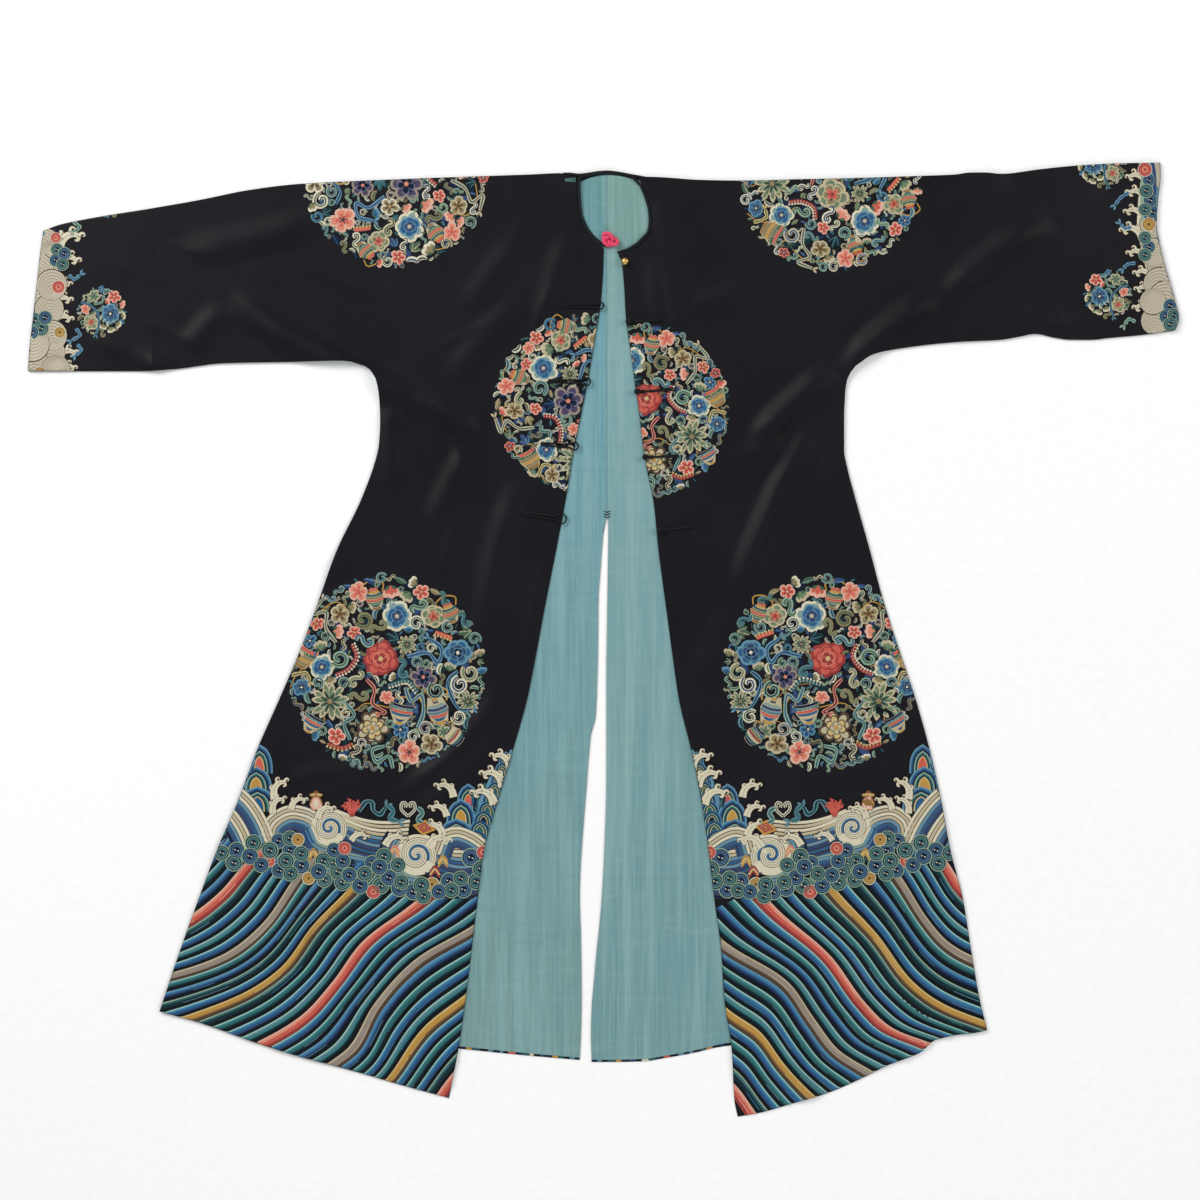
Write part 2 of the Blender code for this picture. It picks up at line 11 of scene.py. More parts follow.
import bmesh
import bpy
import numpy as np
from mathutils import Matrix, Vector


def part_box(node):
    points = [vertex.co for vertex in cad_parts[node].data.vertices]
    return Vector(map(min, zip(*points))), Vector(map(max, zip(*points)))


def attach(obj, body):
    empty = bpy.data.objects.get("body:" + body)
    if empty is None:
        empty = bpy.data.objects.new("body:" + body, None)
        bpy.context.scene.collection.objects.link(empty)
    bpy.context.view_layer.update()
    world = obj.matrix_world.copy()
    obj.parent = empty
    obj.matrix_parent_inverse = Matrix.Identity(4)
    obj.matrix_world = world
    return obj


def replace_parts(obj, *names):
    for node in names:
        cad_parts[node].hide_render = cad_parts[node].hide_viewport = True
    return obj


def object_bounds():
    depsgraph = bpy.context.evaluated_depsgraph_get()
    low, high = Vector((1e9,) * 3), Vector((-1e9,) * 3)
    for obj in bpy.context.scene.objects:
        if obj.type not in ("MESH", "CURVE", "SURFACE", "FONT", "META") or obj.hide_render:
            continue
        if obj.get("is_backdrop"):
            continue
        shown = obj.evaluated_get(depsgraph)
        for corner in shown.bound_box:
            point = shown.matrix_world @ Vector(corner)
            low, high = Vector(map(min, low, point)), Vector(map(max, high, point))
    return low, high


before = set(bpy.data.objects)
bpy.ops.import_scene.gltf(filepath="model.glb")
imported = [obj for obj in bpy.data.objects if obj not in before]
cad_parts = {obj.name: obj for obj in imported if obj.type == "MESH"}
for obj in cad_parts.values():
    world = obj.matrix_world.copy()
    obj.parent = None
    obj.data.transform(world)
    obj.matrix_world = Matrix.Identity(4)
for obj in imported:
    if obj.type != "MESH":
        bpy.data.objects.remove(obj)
CAD_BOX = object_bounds()

MM = 0.001
BODY = "root"

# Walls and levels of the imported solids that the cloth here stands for
BACK_WALL = 1.0
LINING_WALL = 1.0
FRONT_WALL = 1.5
SEAM_GAP = 0.3
LINING_LEVEL = BACK_WALL + SEAM_GAP
FRONT_LEVEL = LINING_LEVEL + LINING_WALL + SEAM_GAP
SLEEVE_END_HEIGHT = FRONT_LEVEL + FRONT_WALL
CLOTH_WIDTH = 680.0
NECK_SIDE = 45.0
CHEST_DROP = 303.0
BACK_INSET = 2.5
LINING_INSET = 6.0
HEM_SHOWS_BELOW_LINING = 3.5
NECK_RISE = 4.8
HEM_FALL_STARTS = 32.0
HEM_FALL_LENGTH = 40.0
NECK_SHARE = 6 / 14
CUFF_FOOT = 868.0
LOWEST_HEM = 1408.0

# The solids' own centre seam and neck point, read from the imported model
SHIFT_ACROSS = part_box("sleeve_end_right")[0][0] / MM + CUFF_FOOT
SHIFT_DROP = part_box("front_left")[0][1] / MM + LOWEST_HEM

# How finely the cloth is divided, and its turned edges
SLEEVE_COLUMNS = 46
BODY_COLUMNS = 62
UPPER_ROWS = 44
SKIRT_ROWS = 150
LINING_STEPS = 36
BACK_STEPS = 16
TURN = 1.3
EDGE_STEPS = (0.35, 0.9, 1.7, 3.2)

# About how long the parts of the panels are, which spaces the close steps at their edges
SLEEVE_REACH = 325
BODY_REACH = 330
UPPER_REACH = 290
SKIRT_REACH = 1080
BACK_SKIRT_REACH = 1030

# The sleeve ends: their depth and width, the wall and rounding of the tube, and its close steps
SLEEVE_END_DEPTH = 260.0
SLEEVE_END_WIDTH = 170.0
SLEEVE_END_WALL = 0.8
SLEEVE_END_ROUNDING = 2.0
SLEEVE_END_STEPS = (0.3, 0.9, 2.0, 4.0)
SLEEVE_END_ROWS = 32
SLEEVE_END_COLUMNS = 24

# The slow unevenness of laid cloth
RIPPLE_WAVES = 7
RIPPLE_LENGTHS = (70, 260)
RIPPLE_WANDER = 97
FRONT_RIPPLE = 0.9
FRONT_RIPPLE_SEED = 5
LINING_RIPPLE = 0.5
LINING_RIPPLE_SEED = 21

Fold = namedtuple("Fold", "from_across from_drop to_across to_drop bow half_width height")
Closure = namedtuple("Closure", "root_across root_drop tip_across tip_drop eye_width")
Half = namedtuple(
    "Half",
    "side shoulder sleeve_under side_edge front_edge neck hem vent back_hem cuff folds",
)


class Table:
    """A smooth curve through rows of (at, value), level where its rows turn back or run level."""

    def __init__(self, *rows):
        self.at, self.value = np.array(sorted(rows), float).T
        chord = np.diff(self.value) / np.diff(self.at)
        before, after = chord[:-1], chord[1:]
        total = np.where(before + after == 0, 1.0, before + after)
        inner = np.where(before * after > 0, 2 * before * after / total, 0.0)
        self.slope = np.concatenate(([chord[0]], inner, [chord[-1]]))

    def __call__(self, at):
        at = np.clip(at, self.at[0], self.at[-1])
        i = np.clip(np.searchsorted(self.at, at) - 1, 0, len(self.at) - 2)
        step = self.at[i + 1] - self.at[i]
        s = (at - self.at[i]) / step
        return (
            self.value[i] * (1 + 2 * s) * (1 - s) ** 2
            + self.value[i + 1] * s * s * (3 - 2 * s)
            + step * (self.slope[i] * s * (1 - s) ** 2 - self.slope[i + 1] * s * s * (1 - s))
        )


# The wearer's right half, which lies on the left when seen from above. Columns as the names say:
# shoulder, sleeve_under, hem and back_hem are across, drop; the others are drop, across.
RIGHT = Half(
    side=-1,
    shoulder=Table((-845, 79), (-820, 70), (-760, 58), (-685, 46), (-610, 33), (-535, 18),
                   (-460, 9), (-310, 2), (-175, -3), (-115, -5), (-70, -7), (-45, 2)),
    sleeve_under=Table((-868, 290), (-798, 290), (-693, 290), (-648, 287), (-573, 278), (-460, 276),
                       (-400, 275), (-383, 276), (-368, 280), (-355, 288)),
    side_edge=Table((288, -355), (303, -346), (325, -342), (363, -340), (400, -342), (426, -348),
                    (483, -369), (558, -405), (633, -432), (708, -460), (783, -492), (858, -525),
                    (933, -553), (1008, -585), (1083, -613), (1158, -640), (1250, -671)),
    front_edge=Table((105, -4.5), (146, -6), (198, -10.5), (232, -16.5), (303, -28.5), (342, -36),
                     (421, -52), (472, -60), (558, -76), (633, -91), (708, -105), (783, -120),
                     (858, -141), (933, -163), (1008, -184), (1083, -194), (1158, -203),
                     (1233, -212), (1308, -223), (1380, -237)),
    neck=[(-45, 2), (-44, 28), (-42, 52), (-36, 70), (-25.5, 87), (-15, 97), (-4.5, 105)],
    hem=Table((-671, 1250), (-610, 1267), (-535, 1294), (-460, 1318), (-385, 1338), (-310, 1360),
              (-237, 1380)),
    vent=Table((-6, -0.15), (505, -0.15), (527, -5), (590, -10), (633, -13), (708, -13.6),
               (790, -16), (815, -18), (828, -23), (853, -26), (903, -30), (1083, -41), (1137, -39),
               (1230, -38), (1283, -39), (1323, -41)),
    back_hem=Table((-671, 1250), (-500, 1276), (-350, 1294), (-223, 1306), (-134, 1315), (-41, 1323)),
    cuff=Table((79, -845), (115, -850), (160, -855), (213, -861), (258, -866), (290, -868)),
    folds=[
        Fold(-565, 180, -268, 335, 14, 34, 11.0),
        Fold(-292, 330, -190, 395, -10, 28, 7.0),
        Fold(-200, 400, -262, 530, 6, 28, 5.0),
        Fold(-120, 440, -182, 700, 14, 32, 6.5),
        Fold(-52, 80, -96, 225, 5, 28, 4.0),
        Fold(-140, 90, -212, 200, -4, 30, 3.5),
        Fold(-128, 180, -236, 310, 4, 32, 4.0),
        Fold(-430, 62, -640, 112, -5, 34, 4.5),
        Fold(-778, 234, -650, 288, 5, 26, 6.5),
        Fold(-570, 196, -632, 262, 4, 28, 4.5),
        Fold(-322, 325, -318, 470, 6, 24, 5.0),
        Fold(-150, 765, -312, 945, -8, 38, 7.5),
        Fold(-395, 1040, -560, 1190, -10, 38, 7.0),
        Fold(-345, 890, -480, 908, 4, 32, 4.0),
        Fold(-385, 560, -470, 640, 6, 34, 3.5),
        Fold(-255, 1170, -345, 1300, 8, 36, 5.0),
    ],
)

# The wearer's left half, which lies on the right when seen from above.
LEFT = Half(
    side=1,
    shoulder=Table((45, -2), (79, -1), (139, 3), (195, 4), (290, 2), (380, 0), (470, -3), (522, -5),
                   (545, -8), (567, -8), (590, -6), (650, -13), (710, -19), (770, -22), (829, -23)),
    sleeve_under=Table((365, 292), (372, 283), (384, 273), (399, 265), (417, 260), (440, 256),
                       (485, 250), (530, 246), (590, 243), (620, 238), (642, 234), (672, 240),
                       (695, 243), (725, 243), (755, 240), (800, 236), (852, 229)),
    side_edge=Table((292, 365), (303, 360), (325, 357), (363, 355.5), (408, 355.5), (438, 361),
                    (483, 373), (558, 394), (633, 414), (708, 438), (783, 463), (858, 484),
                    (933, 501), (1008, 515), (1083, 534), (1158, 546), (1233, 559), (1278, 570)),
    front_edge=Table((115, 16.5), (127, 22), (162, 25.5), (213, 28.5), (264, 36), (303, 41),
                     (351, 48), (402, 54), (444, 61), (488, 70), (558, 77), (633, 87), (708, 97),
                     (783, 108), (858, 126), (933, 141), (1008, 152), (1083, 161), (1158, 171),
                     (1233, 176), (1308, 187), (1383, 191), (1408, 196)),
    neck=[(45, -2), (53, 11), (60, 28), (66, 50), (67, 65), (65, 80), (56, 92), (44, 103), (29, 111),
          (16.5, 115)],
    hem=Table((196, 1408), (230, 1402), (282, 1387), (335, 1371), (381, 1351), (423, 1330),
              (450, 1320), (471, 1311), (482, 1301), (491, 1293), (502, 1290), (526, 1285),
              (552, 1282), (570, 1278)),
    vent=Table((-6, 0.15), (505, 0.15), (516, 2), (643, 0.5), (753, -1), (903, -1), (1008, -4),
               (1083, -8), (1128, -12), (1164, -16), (1210, -20), (1246, -23), (1283, -24),
               (1326, -23)),
    back_hem=Table((-23, 1326), (13, 1326), (56, 1325), (88, 1320), (132, 1312), (181, 1301),
                   (300, 1292), (430, 1284), (570, 1278)),
    cuff=Table((-23, 829), (-4, 830), (34, 826), (73, 824), (96, 828), (123, 834), (157, 844),
               (189, 853), (213, 858), (229, 852)),
    folds=[
        Fold(668, 60, 500, 190, 10, 34, 10.5),
        Fold(505, 176, 352, 300, 14, 32, 10.0),
        Fold(352, 285, 215, 410, 10, 32, 9.5),
        Fold(318, 365, 190, 640, 12, 28, 8.5),
        Fold(505, 236, 720, 214, -4, 22, 4.5),
        Fold(605, 0, 490, 60, 6, 30, 4.0),
        Fold(745, 12, 672, 68, 4, 28, 4.0),
        Fold(74, 30, 118, 130, 4, 24, 3.5),
        Fold(70, 120, 92, 240, 4, 24, 3.5),
        Fold(180, 418, 275, 402, 5, 26, 3.5),
        Fold(345, 1185, 480, 1288, 6, 34, 9.0),
        Fold(445, 1190, 545, 1262, 6, 30, 6.0),
        Fold(262, 860, 262, 960, 4, 30, 4.0),
        Fold(420, 800, 385, 930, 6, 34, 4.5),
        Fold(190, 640, 150, 760, 6, 36, 4.0),
        Fold(270, 1290, 312, 1390, 6, 32, 6.0),
        Fold(120, 190, 215, 170, 4, 30, 3.5),
    ],
)

# Finer creases beside the main folds, each a soft ridge, or a trough where its height is negative
RIGHT_CREASES = [
    Fold(-470, 118, -330, 178, 8, 12, 1.6),
    Fold(-520, 150, -350, 245, 10, 11, -1.5),
    Fold(-600, 150, -505, 205, 6, 10, 1.4),
    Fold(-660, 95, -560, 120, 4, 12, 1.3),
    Fold(-735, 120, -655, 160, 5, 11, 1.2),
    Fold(-700, 215, -610, 255, -4, 10, 1.6),
    Fold(-445, 235, -345, 300, 8, 9, 1.8),
    Fold(-395, 255, -335, 330, 6, 8, -1.4),
    Fold(-330, 290, -270, 430, 9, 11, 1.8),
    Fold(-250, 330, -215, 470, -6, 12, 1.5),
    Fold(-205, 455, -250, 610, 6, 12, 1.3),
    Fold(-150, 520, -170, 690, 5, 10, -1.4),
    Fold(-95, 575, -120, 705, 3, 10, 1.3),
    Fold(-330, 500, -300, 590, 5, 13, 1.2),
    Fold(-120, 60, -160, 140, 4, 9, 1.1),
    Fold(-75, 150, -118, 262, 5, 8, 1.3),
    Fold(-170, 215, -260, 262, 4, 10, 1.3),
    Fold(-215, 850, -300, 905, -5, 12, 1.6),
    Fold(-475, 820, -520, 900, 4, 11, 1.4),
    Fold(-530, 1065, -610, 1135, 6, 11, 1.9),
    Fold(-330, 1110, -420, 1225, -8, 12, 1.6),
    Fold(-300, 1240, -372, 1325, 5, 11, 1.5),
    Fold(-560, 1195, -500, 1265, 5, 12, 1.7),
]
LEFT_CREASES = [
    Fold(420, 92, 318, 150, 8, 12, 1.6),
    Fold(560, 92, 440, 172, 8, 11, -1.5),
    Fold(610, 130, 520, 190, 6, 9, 1.5),
    Fold(700, 98, 640, 150, 4, 10, 1.3),
    Fold(760, 120, 712, 196, 5, 10, 1.2),
    Fold(640, 190, 560, 226, 4, 9, 1.5),
    Fold(470, 206, 392, 258, 8, 9, 1.8),
    Fold(330, 300, 262, 392, 8, 9, -1.6),
    Fold(300, 330, 210, 470, 9, 11, 1.8),
    Fold(345, 340, 300, 500, -8, 11, 1.7),
    Fold(262, 470, 210, 620, 6, 12, 1.4),
    Fold(170, 600, 120, 700, 5, 11, -1.3),
    Fold(95, 560, 118, 640, 3, 10, 1.2),
    Fold(150, 80, 230, 150, 4, 12, 1.1),
    Fold(110, 150, 150, 262, 5, 9, 1.3),
    Fold(398, 560, 340, 640, 5, 13, 1.2),
    Fold(330, 905, 440, 950, -5, 12, 1.5),
    Fold(160, 920, 235, 1010, 4, 12, 1.5),
    Fold(395, 1080, 470, 1180, 6, 13, 1.8),
    Fold(420, 1230, 500, 1290, -4, 10, 2.2),
    Fold(300, 1180, 392, 1300, 6, 12, -1.8),
    Fold(230, 1250, 300, 1345, 5, 11, 1.5),
]

# Cord loops on the right front and knotted buttons on the left, from the top
LOOPS = [
    Closure(-69, 192, -5, 192, 5.0),
    Closure(-88, 305, -25, 306, 6.5),
    Closure(-99, 399, -43, 403, 6.0),
    Closure(-126, 504, -61, 512, 9.0),
]
BUTTONS = [
    Closure(80, 213, 37, 216, 3.4),
    Closure(99, 317, 50, 321, 3.4),
    Closure(107, 417, 62, 419, 3.4),
    Closure(128, 522, 83, 529, 3.4),
]


def mix(a, b, s):
    return a + (b - a) * s


def along_across(rows, first, last):
    """A line whose drop the table gives, run from one place across to another."""
    return lambda s: np.stack([mix(first, last, s), rows(mix(first, last, s))], -1)


def along_drop(rows, first, last, inset=0.0):
    """A line whose place across the table gives, run from one drop to another."""
    return lambda s: np.stack([rows(mix(first, last, s)) + inset, mix(first, last, s)], -1)


def straight(first, last):
    a, b = np.array(first, float), np.array(last, float)
    return lambda s: a + (b - a) * np.asarray(s, float)[..., None]


def through(spots):
    """A smooth line through places given as (across, drop)."""
    spots = np.array(spots, float)
    reach = np.concatenate(([0.0], np.cumsum(np.hypot(*np.diff(spots, axis=0).T))))
    across, drop = Table(*zip(reach, spots[:, 0])), Table(*zip(reach, spots[:, 1]))
    return lambda s: np.stack([across(s * reach[-1]), drop(s * reach[-1])], -1)


def joined(first, second, share):
    """Two lines end to end, the first over this share of the way."""

    def line(s):
        s = np.asarray(s, float)
        early = (s <= share)[..., None]
        head = first(np.minimum(s / share, 1))
        tail = second(np.maximum((s - share) / (1 - share), 0))
        return np.where(early, head, tail)

    return line


def lowered(line, by):
    return lambda s: line(s) + np.array([0.0, by])


def patch(top, bottom, outer, inner, us, vs):
    """Places on a panel between four lines: rows down it, columns from its outer to its inner line."""
    u, v = us[None, :, None], vs[:, None, None]
    sides = mix(outer(vs)[:, None], inner(vs)[:, None], u)
    ends = mix(top(us)[None], bottom(us)[None], v)
    corners = [line(np.array(s)) for line, s in ((top, 0.0), (top, 1.0), (bottom, 0.0), (bottom, 1.0))]
    return sides + ends - mix(mix(corners[0], corners[1], u), mix(corners[2], corners[3], u), v)


def stations(count, length, near=True, far=True):
    """Shares of the way along a length, with close steps where an edge is turned."""
    steps = np.linspace(0, 1, count + 1)
    extra = [step / length for step in EDGE_STEPS]
    inside = steps[(steps > extra[-1] * 1.5) & (steps < 1 - extra[-1] * 1.5)]
    first = [0.0] + (extra if near else [])
    last = ([1 - step for step in reversed(extra)] if far else []) + [1.0]
    return np.concatenate((first, inside, last))


def turned(distance):
    """How far the cloth has rolled down at this distance from its turned edge."""
    s = np.clip(distance / TURN, 0, 1)
    return TURN * (1 - np.sqrt(1 - (1 - s) ** 2))


def fold_height(folds, across, drop):
    """How far the folds lift the cloth at these places."""
    lift = np.zeros(np.shape(across))
    for fold in folds:
        run = np.array([fold.to_across - fold.from_across, fold.to_drop - fold.from_drop])
        length = math.hypot(*run)
        x, y = across - fold.from_across, drop - fold.from_drop
        s = (x * run[0] + y * run[1]) / length**2
        side = (run[0] * y - run[1] * x) / length - fold.bow * 4 * s * (1 - s)
        ends = np.clip(4 * s * (1 - s) * 1.3, 0, 1) * ((s > 0) & (s < 1))
        lift += fold.height * ends * np.cos(math.pi / 2 * np.clip(side / fold.half_width, -1, 1)) ** 2
    return lift


def ripple(across, drop, seed, amount):
    """The slow unevenness of laid cloth, from 0 up to an amount, as the sum of a few seeded waves."""
    draw = random.Random(seed)
    shortest, longest = RIPPLE_LENGTHS
    total = np.zeros(np.shape(across))
    for _ in range(RIPPLE_WAVES):
        heading, length = draw.uniform(0, math.pi), draw.uniform(shortest, longest)
        phase = draw.uniform(0, 2 * math.pi)
        way = across * math.cos(heading) + drop * math.sin(heading)
        wander = 0.8 * np.sin(way / RIPPLE_WANDER + phase)
        total += np.sin(2 * math.pi * way / length + phase + wander) * length / longest
    return amount * (0.5 + 0.5 * np.tanh(total))


def front_ripple(half, across, drop):
    return ripple(across, drop, FRONT_RIPPLE_SEED + half.side, FRONT_RIPPLE)


def creases_of(half):
    return RIGHT_CREASES if half is RIGHT else LEFT_CREASES


def front_level(half, across, drop):
    """The underside of the front: on the lining, and down on the floor past the back's hem."""
    fall = np.clip((drop - half.back_hem(across) - HEM_FALL_STARTS) / HEM_FALL_LENGTH, 0, 1)
    rest = FRONT_LEVEL * (1 - fall * fall * (3 - 2 * fall))
    folds, creases = fold_height(half.folds, across, drop), fold_height(creases_of(half), across, drop)
    return rest + np.maximum(folds + creases, 0) + front_ripple(half, across, drop)


def front_top(half, across, drop):
    return front_level(half, across, drop) + FRONT_WALL


def sleeve_share(half, across, drop):
    """How far down the flattened sleeve end a place is, from its top fold at 0 to its seam at 1."""
    top, foot = half.shoulder(across), half.sleeve_under(across)
    return np.clip((drop - top) / (foot - top), 0, 1)


def sleeve_end_top(half, across, drop):
    """The outside of the sleeve end's upper side."""
    bulge = np.sin(math.pi * sleeve_share(half, across, drop))
    by_seam = np.clip(1 - (np.abs(across) - CLOTH_WIDTH) / 40, 0, 1) ** 2
    folds = np.maximum(fold_height(half.folds + creases_of(half), across, drop), 0)
    return SLEEVE_END_HEIGHT + (folds + front_ripple(half, across, drop)) * mix(bulge, 1.0, by_seam)


def to_world(places):
    """Rows of across, drop and height in millimetres as x, y and z in metres."""
    places = np.asarray(places, float)
    shifted = np.stack([places[:, 0] + SHIFT_ACROSS, SHIFT_DROP - places[:, 1], places[:, 2]], 1)
    return shifted * MM


def new_piece(name, places, faces, materials, slot, indices=None, weld=0.0):
    """A mesh piece from rows of across, drop and height, riding on the body."""
    mesh = bpy.data.meshes.new(name)
    mesh.from_pydata(to_world(places).tolist(), [], [list(map(int, face)) for face in faces])
    for material in materials:
        mesh.materials.append(material)
    if indices is not None:
        mesh.polygons.foreach_set("material_index", np.asarray(indices, np.int32))
    if weld:
        bm = bmesh.new()
        bm.from_mesh(mesh)
        bmesh.ops.remove_doubles(bm, verts=bm.verts, dist=weld * MM)
        bm.to_mesh(mesh)
        bm.free()
    mesh.shade_smooth()
    mesh.validate()
    mesh.update()
    obj = bpy.data.objects.new(name, mesh)
    bpy.context.scene.collection.objects.link(obj)
    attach(obj, BODY)
    return obj


def grid_faces(rows, columns, first=0, wrap=False):
    """Quads of a grid of points stored row by row."""
    index = first + np.arange(rows * columns).reshape(rows, columns)
    if wrap:
        index = np.vstack([index, index[:1]])
    quads = [index[:-1, :-1], index[:-1, 1:], index[1:, 1:], index[1:, :-1]]
    return np.stack([q.ravel() for q in quads], 1)


def shell(name, blocks, top, wall, materials, slot, side):
    """A closed thin shell of cloth. Each block is its lines, its stations and its turned sides."""
    places, faces, indices = [], [], []
    start = 0
    for lines, us, vs, edges in blocks:
        spots = patch(*lines, us, vs)
        across, drop = spots[..., 0], spots[..., 1]
        width = np.hypot(*(spots[:, -1] - spots[:, 0]).T)[:, None]
        length = np.hypot(*(spots[-1] - spots[0]).T)[None, :]
        far = np.full(across.shape, 1e3)
        for edge in edges:
            far = np.minimum(far, {
                "seam": 1e3, "outer": us[None, :] * width, "inner": (1 - us[None, :]) * width,
                "top": vs[:, None] * length, "bottom": (1 - vs[:, None]) * length,
            }[edge])
        upper = top(across, drop)
        layers = [upper - turned(far) * wall / FRONT_WALL, upper - wall]
        rows, columns = across.shape
        size = rows * columns
        for layer in layers:
            places.append(np.stack([across, drop, layer], -1).reshape(-1, 3))
        quads = grid_faces(rows, columns, start)
        if side > 0:
            quads = quads[:, ::-1]
        faces += [quads[:, ::-1], quads + size]
        indices += [np.zeros(len(quads)), np.full(len(quads), len(materials) - 1)]
        ids = start + np.arange(size).reshape(rows, columns)
        rims = {
            "seam": ids[:, 0], "outer": ids[:, 0], "inner": ids[:, -1][::-1],
            "top": ids[0][::-1], "bottom": ids[-1],
        }
        for edge in edges:
            rim = rims[edge]
            wall_faces = np.stack([rim[:-1], rim[1:], rim[1:] + size, rim[:-1] + size], 1)
            faces.append(wall_faces if side < 0 else wall_faces[:, ::-1])
            indices.append(np.zeros(len(wall_faces)))
        start += 2 * size
    return new_piece(
        name, np.concatenate(places), np.concatenate(faces), materials, slot,
        np.concatenate(indices), weld=0.02,
    )


def front_blocks(half):
    """The sleeve, chest and skirt of a front, between the same lines as its solid."""
    side, shoulder = half.side, half.shoulder
    seam, neck = side * CLOTH_WIDTH, side * NECK_SIDE
    under_drop, underarm = half.side_edge.at[0], half.side_edge.value[0]
    column = straight((underarm, shoulder(underarm)), (underarm, under_drop))
    sleeve = (
        along_across(shoulder, seam, underarm),
        along_across(half.sleeve_under, seam, underarm),
        straight((seam, shoulder(seam)), (seam, half.sleeve_under(seam))),
        column,
    )
    chest_line = straight((underarm, under_drop), (half.front_edge(CHEST_DROP), CHEST_DROP))
    edge_top, edge_foot = half.front_edge.at[0], half.front_edge.at[-1]
    chest = (
        along_across(shoulder, underarm, neck),
        chest_line,
        column,
        joined(through(half.neck), along_drop(half.front_edge, edge_top, CHEST_DROP), NECK_SHARE),
    )
    skirt = (
        chest_line,
        along_across(half.hem, half.side_edge.value[-1], half.front_edge.value[-1]),
        along_drop(half.side_edge, under_drop, half.side_edge.at[-1]),
        along_drop(half.front_edge, CHEST_DROP, edge_foot),
    )
    upper = stations(UPPER_ROWS, UPPER_REACH)
    body = stations(BODY_COLUMNS, BODY_REACH)
    down = stations(SKIRT_ROWS, SKIRT_REACH, near=False)
    return [
        (sleeve, stations(SLEEVE_COLUMNS, SLEEVE_REACH, far=False), upper, ("seam", "top", "bottom")),
        (chest, body, upper, ("inner", "top")),
        (skirt, body, down, ("outer", "inner", "bottom")),
    ]


def on_back(across, drop):
    """The level upper side of the back."""
    return np.full(np.shape(across), BACK_WALL)


def back_blocks(half, inset, hem_lift, steps, neck_rise):
    """The sleeve, chest and skirt of a half of the back or of its lining, drawn in by an inset."""
    side = half.side
    seam, neck = side * (CLOTH_WIDTH - SEAM_GAP), side * NECK_SIDE
    underarm, under_drop = half.side_edge.value[0] - side * inset, half.side_edge.at[0] - inset
    column = straight((underarm, half.shoulder(underarm) + inset), (underarm, under_drop))
    under_line = along_across(half.sleeve_under, seam, half.side_edge.value[0])
    seam_top, seam_foot = half.shoulder(seam) + inset, half.sleeve_under(seam) - inset
    sleeve = (
        lowered(along_across(half.shoulder, seam, underarm), inset),
        lambda s: np.stack([mix(seam, underarm, s), under_line(s)[..., 1] - inset], -1),
        straight((seam, seam_top), (seam, seam_foot)),
        column,
    )
    centre, neck_back = half.vent.value[0], half.vent.at[0] + inset - neck_rise
    chest_line = straight((underarm, under_drop), (centre, CHEST_DROP))
    corner = half.shoulder(neck) + inset
    back_neck = through([
        (mix(neck, centre, s), mix(corner, neck_back, math.sin(s * math.pi / 2) if neck_rise else s))
        for s in (0, 0.25, 0.5, 0.75, 1)
    ])
    top_line = lowered(along_across(half.shoulder, underarm, neck), inset)
    chest = (
        joined(top_line, back_neck, 6 / 7),
        chest_line,
        column,
        straight((centre, neck_back), (centre, CHEST_DROP)),
    )
    side_foot, vent_foot = half.side_edge.at[-1] - hem_lift, half.vent.at[-1] - hem_lift
    hem_corner = half.side_edge.value[-1] - side * inset
    second = half.side_edge.at[1]
    under_curve = straight((underarm, under_drop), (half.side_edge.value[1] - side * inset, second))
    skirt = (
        chest_line,
        lowered(along_across(half.back_hem, hem_corner, half.vent.value[-1]), -hem_lift),
        joined(under_curve, along_drop(half.side_edge, second, side_foot, -side * inset), 1 / 18),
        along_drop(half.vent, CHEST_DROP, vent_foot),
    )
    across = stations(steps, BODY_REACH)
    down = stations(steps // 2, UPPER_REACH)
    skirt_down = stations(steps * 3, BACK_SKIRT_REACH, near=False)
    sleeve_across = stations(steps // 2, SLEEVE_REACH, near=False, far=False)
    return [
        (sleeve, sleeve_across, down, ("seam", "top", "bottom")),
        (chest, across, down, ("inner", "top")),
        (skirt, across, skirt_down, ("outer", "inner", "bottom")),
    ]


def panel_area(spots):
    """The flat area in square metres of a grid of places given in millimetres."""
    a, b = spots[1:, 1:] - spots[:-1, :-1], spots[1:, :-1] - spots[:-1, 1:]
    return float(np.abs(a[..., 0] * b[..., 1] - a[..., 1] * b[..., 0]).sum() / 2 * MM * MM)


def outline_size(blocks):
    """The width, length and area in metres of a panel made of these blocks."""
    spots = [patch(*lines, us, vs) for lines, us, vs, _ in blocks]
    reach = np.concatenate([s.reshape(-1, 2) for s in spots])
    width, length = np.ptp(reach, axis=0) * MM
    return float(width), float(length), sum(panel_area(s) for s in spots)


def lining_top(half):
    """The lining's upper side: level under the front, with low waves where it shows."""

    def height(across, drop):
        shown = np.clip((half.front_edge(drop) - across) * half.side / 14, 0, 1)
        wave = LINING_RIPPLE * ripple(across, drop, LINING_RIPPLE_SEED + half.side, 1.0)
        wave = wave + fold_height(LINING_CREASES, across, drop)
        return LINING_LEVEL + LINING_WALL + np.maximum(wave, 0) * shown * (drop > LINING_WAVES_BELOW)

    return height


